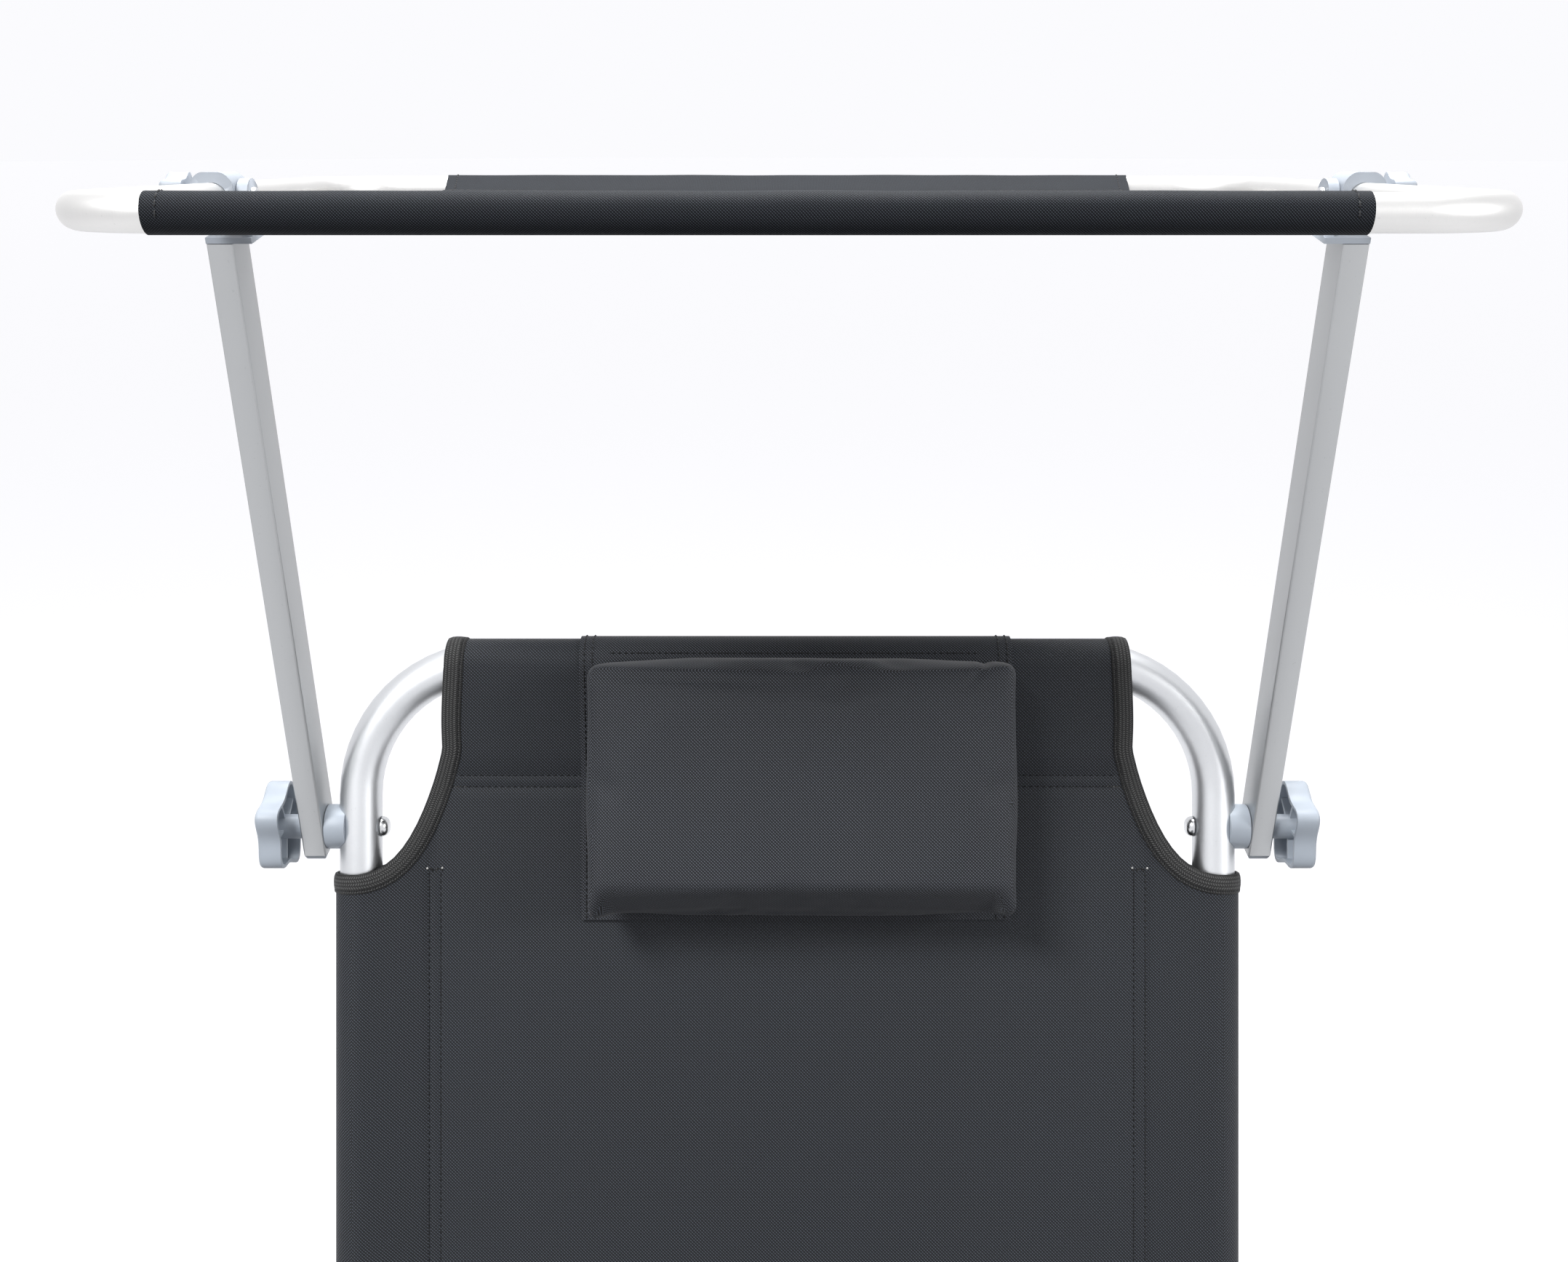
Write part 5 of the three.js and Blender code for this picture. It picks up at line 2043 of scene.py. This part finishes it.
    def seams(self) -> Piece:
        """Sews the double seams of the sleeves, the bindings' rows and the bar-tacks at the seams' ends.

        Returns:
            The seams.
        """
        surface, thread = Surface(), Stitching(self.shape)
        top_end = self.length - self.cut_top + self.seam_top
        half = self.panel_edge(self.top.seam) - self.seam_inset
        for offset in (-self.row, self.row):
            thread.sew(surface, [(-half, self.top.seam + offset), (half, self.top.seam + offset)])
            for sign in (-1, 1):
                u = sign * (self.side_seam + offset)
                for start, end in ((self.hinge_cut + self.seam_near, top_end),
                                   (-self.middle + self.seam_seat, -self.hinge_cut - self.seam_near)):
                    thread.sew(surface, [(u, v) for v in spread(start, end, self.seam_step)])
        for sign in (-1, 1):
            for v in (top_end, self.hinge_cut + self.tack_near, -self.hinge_cut - self.tack_near):
                for offset in (-self.tack_row, self.tack_row):
                    thread.sew(surface, [(sign * (self.side_seam - self.tack), v + offset),
                                         (sign * (self.side_seam + self.tack), v + offset)],
                               stitch=self.tack_stitch)
            for path in self.edge_paths():
                row = [(sign * u, v) for u, v in self.inset(path, self.tape_row)]
                thread.sew(surface, row, lift=self.tape_lift)
        return surface.trim(f"{self.word}_sling_seams", self.finishes.thread)

    def thread_ends(self) -> Piece:
        """Leaves the cut ends of the thread at the top of the side seams.

        Returns:
            The thread ends.
        """
        surface = Surface()
        thread = Stitching(self.shape, thread=self.knot)
        for sign in (-1, 1):
            for offset in (-self.row - MM, self.row + MM):
                place = Vector((sign * (self.side_seam + offset),
                                self.length - self.cut_top + self.knot_place, 0))
                thread.add(surface, place, Vector((0, self.knot_reach, 0)), self.knot_lift)
        return surface.trim(f"{self.word}_sling_thread_ends", self.finishes.knot, 0)

    @staticmethod
    def inset(path: Sequence[Flat], distance: float) -> list[Flat]:
        """Gives a path moved into the cloth that lies on its right."""
        return [(here + inward * distance).xy.to_tuple() for here, inward, _ in walk(path)]

    def make(self) -> None:
        """Makes the cloth and its trim, and lets them bend at the hinge."""
        cloth, area = self.cloth()
        trims = [self.bindings(), self.seams(), self.thread_ends()]
        start, end = self.blend_ends()
        for piece in (cloth, *trims):
            Bench.clear()
            piece.data.transform(place_matrix(self.place))
            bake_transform(piece)
            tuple(start)
            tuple(end)
        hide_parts(*self.replaced)
        width, height = 2 * self.side.end, self.top.end + self.middle
        log.info("%s is cut %.3f by %.3f m, %.4f m2", cloth.name, width, height, area)
        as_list(self.tubes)

    def blend_ends(self) -> tuple[Vector, Vector]:
        """Gives the two points between which the cloth bends, in the lounger's frame.

        Returns:
            Where the bend starts and where it ends.
        """
        matrix = place_matrix(self.place)
        flat = Vector((0, -self.bend_reach, -SIZES.rise))
        start = Matrix.Rotation(-self.rest_angle, 3, "X") @ flat
        return matrix @ start, matrix @ Vector((0, self.bend_reach, -SIZES.rise))


@dataclass
class Slings:
    """The lying surface: two sewn lengths of cloth that meet under a band in the middle of the seat."""

    finishes: Finishes
    band: float = 26 * MM
    thick: float = 0.8 * MM
    rise: float = 0.95 * MM
    hem: float = 3 * MM
    step: float = 20 * MM
    hem_step: float = 10 * MM
    mesh: float = 4 * MM

    def make(self) -> None:
        """Makes both lengths and the band over their joint."""
        seats = [f"seat_tube_{side.word}" for side in Side]
        back = Sling(self.finishes, "backrest", SIZES.backrest, Legs.head_place, "backrest", Place.BACKREST,
                     SIZES.backrest_angle, ["backrest_cloth", "seat_cloth"], ["backrest_tube", *seats])
        foot = Sling(self.finishes, "foot", SIZES.foot, Legs.foot_place, "foot_section", Place.FOOT, 0.0,
                     ["foot_cloth"], ["foot_tube", *seats])
        back.make()
        foot.make()
        self.cover(back)

    def cover(self, sling: Sling) -> None:
        """Sews the band across the seat, round both side tubes.

        Args:
            sling: The cloth whose shape it follows.
        """
        surface = Surface()
        side = [*sling.side.seam_lines(), *sling.side.over_lines()]
        across = [-u for u in reversed(side)] + spread(-side[0], side[0], self.step)[1:-1] + side
        edge = sling.middle + self.band / 2
        lines = spread(-edge, self.band - edge, self.mesh)
        surface.grid([[(u, v) for u in across] for v in lines], self.lifted(sling))
        piece = surface.sheet("seat_band", self.thick, self.finishes.cloth)
        sewn, thread = Surface(), Stitching(self.lifted(sling))
        for v in (self.hem - edge, self.band - self.hem - edge):
            thread.sew(sewn, [(u, v) for u in spread(-sling.side.edge, sling.side.edge, self.hem_step)])
        rows = sewn.trim("seat_band_seams", self.finishes.thread, 0)
        for made in (piece, rows):
            mount(made, Place.BACKREST, "seat_section", "sling_cloth")

    def lifted(self, sling: Sling) -> FlatShape:
        """Gives a cloth's shape raised by the band's thickness.

        Args:
            sling: The cloth.

        Returns:
            The raised shape.
        """
        def shape(u: float, v: float, lift: float = 0.0) -> Vector:
            """Gives the point of a flat place on the band."""
            return sling.shape(u, v, lift + self.rise)
        return shape


@dataclass
class Pillow(Cloth):
    """The head pillow, and the flap that hangs it from the backrest's bar."""

    width: float = 247 * MM
    height: float = 151 * MM
    depth: float = 54 * MM
    shift: float = 8 * MM
    top: float = 9.5 * MM
    back: float = 15.6 * MM
    grain: float = 5 * MM
    frames: int = 20
    pressure: float = 3.0
    most_swell: float = 3.5 * MM
    flap_width: float = 258 * MM
    flap_shift: float = 5 * MM
    flap_front: float = 168 * MM
    flap_back: float = 115 * MM
    flap_thick: float = 1.0 * MM
    flap_seam: float = 72 * MM
    flap_lift: float = 3.4 * MM
    ridge_place: float = 5 * MM
    ridge_height: float = 1.3 * MM
    ridge_reach: float = 2.6 * MM
    ridge_inset: float = 14 * MM
    ridge_fade: float = 12 * MM
    ridge_row: float = 3.2 * MM
    row_inset: float = 20 * MM
    row_step: float = 20 * MM
    hems: Flat = (3 * MM, 8 * MM)
    hem_end: float = 2 * MM
    hem_step: float = 3 * MM
    ripple: float = 0.7 * MM
    across_mesh: float = 5 * MM
    front_mesh: float = 6 * MM
    bend_mesh: float = 2.2 * MM
    side_growth: float = 6 * MM
    face_growth: float = 10 * MM
    edge: float = 6 * MM
    lean_start: float = 20 * MM
    lean: float = 0.09
    waves: float = 0.9 * MM
    crease_depth: float = 1.5 * MM
    crease_place: float = 9 * MM
    crease_width: float = 2.4 * MM
    crease_start: float = 20 * MM
    crease_fade: float = 80 * MM
    crease_end: float = 12 * MM
    tuck_place: float = 16 * MM
    tuck_width: float = 2.6 * MM
    tuck_end: float = 24 * MM
    tuck_fade: float = 18 * MM

    def __post_init__(self) -> None:
        """Works out the flap's route over the bar."""
        tube = SIZES.backrest - SIZES.tube
        self.route = SleeveRoute(tube - self.flap_seam, tube, radius=self.back, lift=self.flap_lift, hem=0.0)
        self.ridge = self.route.seam + self.route.straight + self.ridge_place

    def stuffing(self) -> Piece:
        """Sews the boxy cover and lets it swell with its filling.

        Returns:
            The cover.
        """
        size = Vector((self.width - self.side_growth, self.height - self.side_growth,
                       self.depth - self.face_growth))
        cover = Bench.block("stuffed_pillow", -size / 2, size / 2)
        Bench.round_edges(cover, self.edge, 3)
        Bench.modify(cover, "REMESH", mode="VOXEL", voxel_size=self.grain)
        for vertex in cover.data.vertices:
            self.tuck(vertex)
        self.swell(cover)
        Bench.modify(cover, "SUBSURF", levels=1)
        return cover

    def tuck(self, vertex: bpy.types.MeshVertex) -> None:
        """Flattens the cover towards its four corners, where the seams gather it.

        Args:
            vertex: A point of the cover.
        """
        across = abs(vertex.co.x) / (self.width / 2)
        along = abs(vertex.co.y) / (self.height / 2)
        vertex.co.z *= 1 - 0.3 * across ** 8 * along ** 6

    def swell(self, cover: Piece) -> None:
        """Presses the cover outwards as cloth, and caps how far any point may go.

        Args:
            cover: The cover.
        """
        rest = [vertex.co.copy() for vertex in cover.data.vertices]
        Bench.only(cover)
        cloth = cover.modifiers.new("swell", "CLOTH")
        settings = cloth.settings
        settings.quality = 6
        settings.mass = 0.25
        settings.use_pressure = True
        settings.uniform_pressure_force = self.pressure
        settings.tension_stiffness = 60
        settings.compression_stiffness = 60
        settings.shear_stiffness = 30
        settings.bending_stiffness = 4
        settings.effector_weights.gravity = 0
        cloth.point_cache.frame_start = 1
        cloth.point_cache.frame_end = self.frames
        for number in range(1, self.frames + 1):
            bpy.context.scene.frame_set(number)
            bpy.context.view_layer.update()
        bpy.ops.object.modifier_apply(modifier=cloth.name)
        bpy.context.scene.frame_set(1)
        for vertex, before in zip(cover.data.vertices, rest):
            move = vertex.co - before
            vertex.co = before + move * min(1.0, self.most_swell / max(move.length, 1e-9))

    def settle(self, cover: Piece) -> None:
        """Fits the pillow to its size, sets it before the flap and presses its back flat on it.

        Args:
            cover: The cover.
        """
        points = [vertex.co for vertex in cover.data.vertices]
        low = Vector([min(p[axis] for p in points) for axis in range(3)])
        high = Vector([max(p[axis] for p in points) for axis in range(3)])
        size = Vector((self.width, self.height, self.depth))
        middle = Vector((self.shift, SIZES.backrest - self.top - self.height / 2,
                         self.back + self.depth / 2 - SIZES.rise))
        for vertex in cover.data.vertices:
            share = [(vertex.co[axis] - (low[axis] + high[axis]) / 2) / (high[axis] - low[axis])
                     for axis in range(3)]
            vertex.co = Vector([middle[axis] + share[axis] * size[axis] for axis in range(3)])
            behind = max(0.0, -share[2] - 0.1)
            drop = (SIZES.backrest - vertex.co.y - self.lean_start) * self.lean
            vertex.co.z -= max(0.0, drop) * behind

    def pillow(self) -> Piece:
        """Makes the pillow with the creases that its seams pull.

        Returns:
            The pillow.
        """
        cover = self.stuffing()
        self.settle(cover)
        for vertex in cover.data.vertices:
            vertex.co += self.crease(vertex.co, vertex.normal)
        mesh = cover.data
        layer = mesh.uv_layers.get("flat") or mesh.uv_layers.new(name="flat")
        for face in mesh.polygons:
            side = max(range(3), key=lambda axis: abs(face.normal[axis]))
            a, b = ((1, 2), (0, 2), (0, 1))[side]
            for loop in face.loop_indices:
                point = mesh.vertices[mesh.loops[loop].vertex_index].co
                layer.data[loop].uv = (point[a], point[b])
        Bench.smooth(cover, 80)
        return dress(cover, self.finishes.pillow)

    def crease(self, at: Vector, normal: Vector) -> Vector:
        """Gives how far a point moves for its corner's pull, the creases and the small swells of a cover.

        Args:
            at: Where the point is.
            normal: The way the cover faces there.

        Returns:
            The move.
        """
        top = SIZES.backrest - self.top
        x, down = at.x - self.shift, top - at.y
        half = self.width / 2
        across, along = x / half, 1 - 2 * down / self.height
        low_left = max(0.0, -across) ** 10 * max(0.0, -along) ** 8
        low_right = max(0.0, across) ** 10 * max(0.0, -along) ** 8
        high_left = max(0.0, -across) ** 10 * max(0.0, along) ** 8
        high_right = max(0.0, across) ** 10 * max(0.0, along) ** 8
        pull = Vector((-4.5, -9.5, 0)) * low_left + Vector((5.5, -4.5, 0)) * low_right
        pull += Vector((-4.5, 1.5, 0)) * high_left + Vector((5.0, 5.5, 0)) * high_right
        front = smooth_step((at.z - self.back + SIZES.rise) / (0.8 * self.depth))
        droop = smooth_step((-along - 0.68) / 0.3) * smooth_step((1 - abs(across)) / 0.14)
        pull += Vector((0, 0, -22.0)) * droop * front
        swell = noise.noise(Vector((at.x * 12, at.y * 14, at.z * 18))) * self.waves
        fold = math.exp(-((down - self.crease_place - 0.05 * (x + half)) / self.crease_width) ** 2)
        fold *= smooth_step((self.crease_start - x) / self.crease_fade)
        fold *= smooth_step((x + half) / self.crease_end)
        tuck = math.exp(-((x - half + self.tuck_place + 0.9 * down) / self.tuck_width) ** 2)
        tuck *= smooth_step((self.tuck_end - down) / self.tuck_fade)
        return pull * MM + normal * (swell - self.crease_depth * (fold + tuck))

    def face(self, u: float, v: float) -> Vector:
        """Gives the point of a flat place on the flap's outer face, along from the hinge over the bar.

        Args:
            u: Flat place across.
            v: Flat place along.

        Returns:
            The point.
        """
        y, height = self.route.place(v)
        ripple = noise.noise(Vector((u * 13, v * 9, 5.0))) * self.ripple
        beside = abs(u - self.flap_shift) - (self.flap_width / 2 - self.ridge_inset)
        ridge = max(0.0, 1 - abs(v - self.ridge) / self.ridge_reach)
        ripple += self.ridge_height * ridge * smooth_step(-beside / self.ridge_fade)
        return Vector((u, y, height + (ripple if height > 0 else -ripple) - SIZES.rise))

    def flap(self) -> tuple[Piece, Piece, float]:
        """Cuts the flap with its hems and sews them.

        Returns:
            The flap, its seams and its flat length.
        """
        start = SIZES.backrest - self.flap_front
        end = 2 * self.route.edge - (SIZES.backrest - self.flap_back)
        left = self.flap_shift - self.flap_width / 2
        right = self.flap_shift + self.flap_width / 2
        surface = Surface()
        across = spread(left, right, self.across_mesh)
        lines = spread(start, self.route.seam, self.front_mesh)
        lines += spread(self.route.seam, end, self.bend_mesh)[1:]
        surface.grid([[(u, v) for u in across] for v in lines], self.shape)
        piece = surface.sheet("pillow_flap_cloth", self.flap_thick, self.finishes.pillow)
        sewn, thread = Surface(), Stitching(self.shape)
        for inset in self.hems:
            for u in (left + inset, right - inset):
                thread.sew(sewn, [(u, v) for v in spread(start + self.hem_end, end - self.hem_end,
                                                         self.hem_step)])
        for place in (self.ridge - self.ridge_row, self.ridge + self.ridge_row):
            thread.sew(sewn, [(u, place) for u in spread(left + self.row_inset, right - self.row_inset,
                                                         self.row_step)])
        return piece, sewn.trim("pillow_flap_seams", self.finishes.thread), end - start

    def make(self) -> None:
        """Makes the pillow and its flap."""
        flap, seams, length = self.flap()
        mount(flap, Place.BACKREST, "backrest", "pillow_cloth", "pillow_flap")
        mount(seams, Place.BACKREST, "backrest", "pillow_cloth")
        pillow = self.pillow()
        mount(pillow, Place.BACKREST, "backrest", "pillow_cloth", "head_pillow")


@dataclass
class CanopyCloth(Cloth):
    """The canopy's cloth: a sheet with a sleeve round each bar, hemmed at its sides."""

    radius: float = 8.15 * MM
    seam: float = 26 * MM
    front_half: float = 230 * MM
    front_sheet: float = 222 * MM
    rear_half: float = 213 * MM
    pull: float = 14 * MM
    sag: float = 6 * MM
    thick: float = 0.6 * MM
    slip: float = 12 * MM
    lift: float = 0.4 * MM
    hem: float = 5 * MM
    flare_start: float = 4 * MM
    flare: float = 20 * MM
    ripple: float = 1.4 * MM
    pinch: float = 0.35 * MM
    pinch_reach: float = 3 * MM
    mesh: float = 9 * MM
    seam_mesh: float = 1.5 * MM
    seam_end: float = 4 * MM
    sleeve_mesh: float = 5 * MM
    bend_mesh: float = 1.9 * MM
    stitch: float = 2.8 * MM
    thread: float = 0.36 * MM
    seam_inset: float = 3 * MM
    seam_step: float = 20 * MM
    hem_inset: float = 6 * MM
    hem_step: float = 8 * MM

    def __post_init__(self) -> None:
        """Works out the sleeves' route, which is the same at both bars."""
        self.half = (SIZES.canopy_front + SIZES.canopy_rear) / 2
        self.middle = (SIZES.canopy_rear - SIZES.canopy_front) / 2
        self.route = SleeveRoute(self.half - self.seam, self.half, radius=self.radius, lift=self.lift,
                                 hem=self.hem)
        self.bend_start = SIZES.canopy_x - SIZES.canopy_bend

    def half_width(self, v: float) -> float:
        """Gives the half width of the cloth at a flat place along it, negative at the front.

        Args:
            v: The flat place.

        Returns:
            The half width.
        """
        flat = min(abs(v), 2 * self.route.edge - abs(v))
        along = (math.copysign(flat, v) / self.route.edge + 1) / 2
        belly = 4 * along * (1 - along)
        plain = self.front_sheet + (self.rear_half - self.front_sheet) * along - self.pull * belly
        if v < 0:
            reach = smooth_step((flat - self.route.seam + self.flare_start) / self.flare)
            return plain + (self.front_half - plain) * reach
        return plain

    def face(self, u: float, v: float) -> Vector:
        """Gives the point of a flat place on the outer face, along from the middle, negative at the front.

        Args:
            u: Flat place across.
            v: Flat place along.

        Returns:
            The point.
        """
        distance, height = self.route.place(abs(v))
        over = abs(v) <= self.route.edge
        along = distance / self.half
        belly = max(0.0, 1 - along * along)
        across = u / self.rear_half
        sag = self.sag * belly * (1 - 0.6 * across * across)
        ripple = noise.noise(Vector((u * 9, v * 6, 1.7))) * self.ripple * belly
        y = math.copysign(distance, v) + self.middle
        x = u - self.slip * smooth_step(-math.copysign(distance, v) / self.half)
        beyond = min(abs(x) - self.bend_start, 0.9 * SIZES.canopy_bend)
        if v < 0 and beyond > 0:
            y += SIZES.canopy_bend - math.sqrt(SIZES.canopy_bend ** 2 - beyond ** 2)
        pinch = 0.0
        beside = abs(abs(v) - self.route.seam)
        if over and beside < self.pinch_reach:
            pinch = -self.pinch * (1 - beside / self.pinch_reach)
        if over and abs(v) > self.route.seam + self.route.straight:
            pinch = noise.noise(Vector((u * 24, v * 10, 7.0))) * self.pinch
        return Vector((x, y, height - sag + ripple + pinch))

    def cloth(self) -> tuple[Piece, float]:
        """Cuts and folds the cloth.

        Returns:
            The cloth, and its area when it lies flat.
        """
        surface = Surface()
        route = self.route
        near = spread(0, route.seam - self.pinch_reach, self.mesh)
        near += [route.seam - self.seam_mesh, route.seam, route.seam + self.seam_mesh,
                 route.seam + self.seam_end]
        tangent = route.seam + route.straight
        near += spread(route.seam + self.mesh, tangent, self.sleeve_mesh)
        near += spread(tangent, 2 * route.edge - tangent, self.bend_mesh)[1:]
        near += spread(2 * route.edge - tangent, route.end, self.sleeve_mesh)[1:]
        lines = [-v for v in reversed(near[1:])] + near
        across = spread(-1, 1, self.mesh / self.rear_half)
        surface.grid([[(share * self.half_width(v), v) for share in across] for v in lines], self.shape)
        piece = surface.sheet("canopy_sheet", self.thick, self.finishes.canopy_cloth)
        return piece, surface.flat_area()

    def seams(self) -> Piece:
        """Sews both sleeves shut and the side hems down.

        Returns:
            The seams.
        """
        surface, thread = Surface(), Stitching(self.shape, stitch=self.stitch, thread=self.thread)
        for v in (-self.route.seam, self.route.seam):
            half = self.half_width(v) - self.seam_inset
            thread.sew(surface, [(u, v) for u in spread(-half, half, self.seam_step)])
        lines = spread(-self.route.edge, self.route.edge, self.hem_step)
        for sign in (-1, 1):
            thread.sew(surface, [(sign * (self.half_width(v) - self.hem_inset), v) for v in lines])
        return surface.trim("canopy_seams", self.finishes.thread)

    def make(self) -> None:
        """Makes the cloth and its seams."""
        cloth, area = self.cloth()
        seams = self.seams()
        mount(cloth, Place.CANOPY, "canopy", "canopy_fabric", "canopy_cloth")
        mount(seams, Place.CANOPY, "canopy", "canopy_fabric")
        width, length = 2 * self.front_half, 2 * self.route.end
        log.info("%s is cut %.3f by %.3f m, %.4f m2", cloth.name, width, length, area)


@dataclass
class Lamp:
    """A soft square lamp that looks at a point."""

    name: str
    at: Triple
    towards: Triple
    width: float
    power: float
    colour: Triple = (1.0, 1.0, 1.0)

    def make(self) -> None:
        """Hangs the lamp."""
        data = bpy.data.lights.new(self.name, "AREA")
        data.shape = "RECTANGLE"
        data.size = self.width
        data.size_y = 0.6 * self.width
        data.energy = self.power
        data.color = self.colour
        lamp = bpy.data.objects.new(self.name, data)
        bpy.context.collection.objects.link(lamp)
        lamp.location = self.at
        lamp.rotation_euler = (Vector(self.at) - Vector(self.towards)).to_track_quat("Z", "Y").to_euler()


@dataclass
class Studio:
    """Camera, floor, white surroundings and soft lamps."""

    camera_at: Triple = (-0.002, -0.258, 1.263)
    camera_pitch: float = math.radians(72)
    lens: float = 36.0
    sensor: float = 36.0
    floor_radius: float = 60.0
    white: Triple = (0.965, 0.965, 0.99)
    fill: float = 0.35
    floor_glow: float = 0.89
    lamps: list[Lamp] = field(default_factory=lambda: [
        Lamp("key_lamp", (-1.35, -1.2, 3.15), (0.0, 0.4, 0.85), 1.1, 82.0),
        Lamp("side_lamp", (2.3, -0.9, 1.9), (0.0, 0.4, 0.8), 1.1, 26.0),
        Lamp("top_lamp", (0.1, 1.2, 3.2), (0.0, 0.4, 1.0), 1.5, 84.0),
    ])

    def camera(self) -> None:
        """Sets the camera at the photograph's viewing angle."""
        data = bpy.data.cameras.new("camera")
        data.sensor_width = self.sensor
        data.lens = self.lens
        data.clip_start = 0.02
        data.clip_end = 200
        camera = bpy.data.objects.new("camera", data)
        bpy.context.collection.objects.link(camera)
        camera.location = self.camera_at
        camera.rotation_euler = (self.camera_pitch, 0, 0)
        bpy.context.scene.camera = camera

    def seen(self, shader: Shader) -> Signal:
        """Gives 1 to the rays that show the surroundings themselves.

        Args:
            shader: The finish that asks.

        Returns:
            The signal.
        """
        path = shader.node("LightPath")
        rays = ("Is Camera Ray", "Is Glossy Ray", "Is Transmission Ray")
        first, second, third = (shader.signal(path, ray) for ray in rays)
        return (first + second + third).clamp()

    def floor(self) -> None:
        """Lays the pale floor, which keeps the lounger's shadow."""
        floor = Bench.fresh(bpy.ops.mesh.primitive_circle_add, "floor", vertices=64,
                            radius=self.floor_radius, fill_type="NGON", location=(0, 0, 0))
        shader = Shader.named("pale_floor")
        glow = self.seen(shader) * self.floor_glow
        dress(floor, shader.finish(Base_Color=(0.22, 0.22, 0.225), Roughness=0.9,
                                   Specular_IOR_Level=0.1, Emission_Color=self.white,
                                   Emission_Strength=glow))

    def surroundings(self) -> None:
        """Makes the world white to look at, and softer as a light."""
        shader = Shader(bpy.data.worlds.new("surroundings"), "Background")
        strength = self.seen(shader) * (1 - self.fill) + self.fill
        bpy.context.scene.world = shader.finish(Color=self.white, Strength=strength)

    def make(self) -> None:
        """Builds the studio and sets how colours are shown."""
        self.camera()
        self.floor()
        self.surroundings()
        for lamp in self.lamps:
            lamp.make()
        bpy.context.scene.view_settings.view_transform = "Standard"


def main() -> None:
    """Builds the lounger piece by piece."""
    logging.basicConfig(level=logging.INFO, format="%(message)s")
    Bench.clear()
    Studio().make()
    finishes = Finishes()
    for assembly in (FrameTubes, Hinges, Legs, Slings, Pillow, Arms, CanopyFrame, CanopyCloth):
        assembly(finishes).make()
        log.info("%s is done", assembly.__name__)


if __name__ == "__main__":
    main()
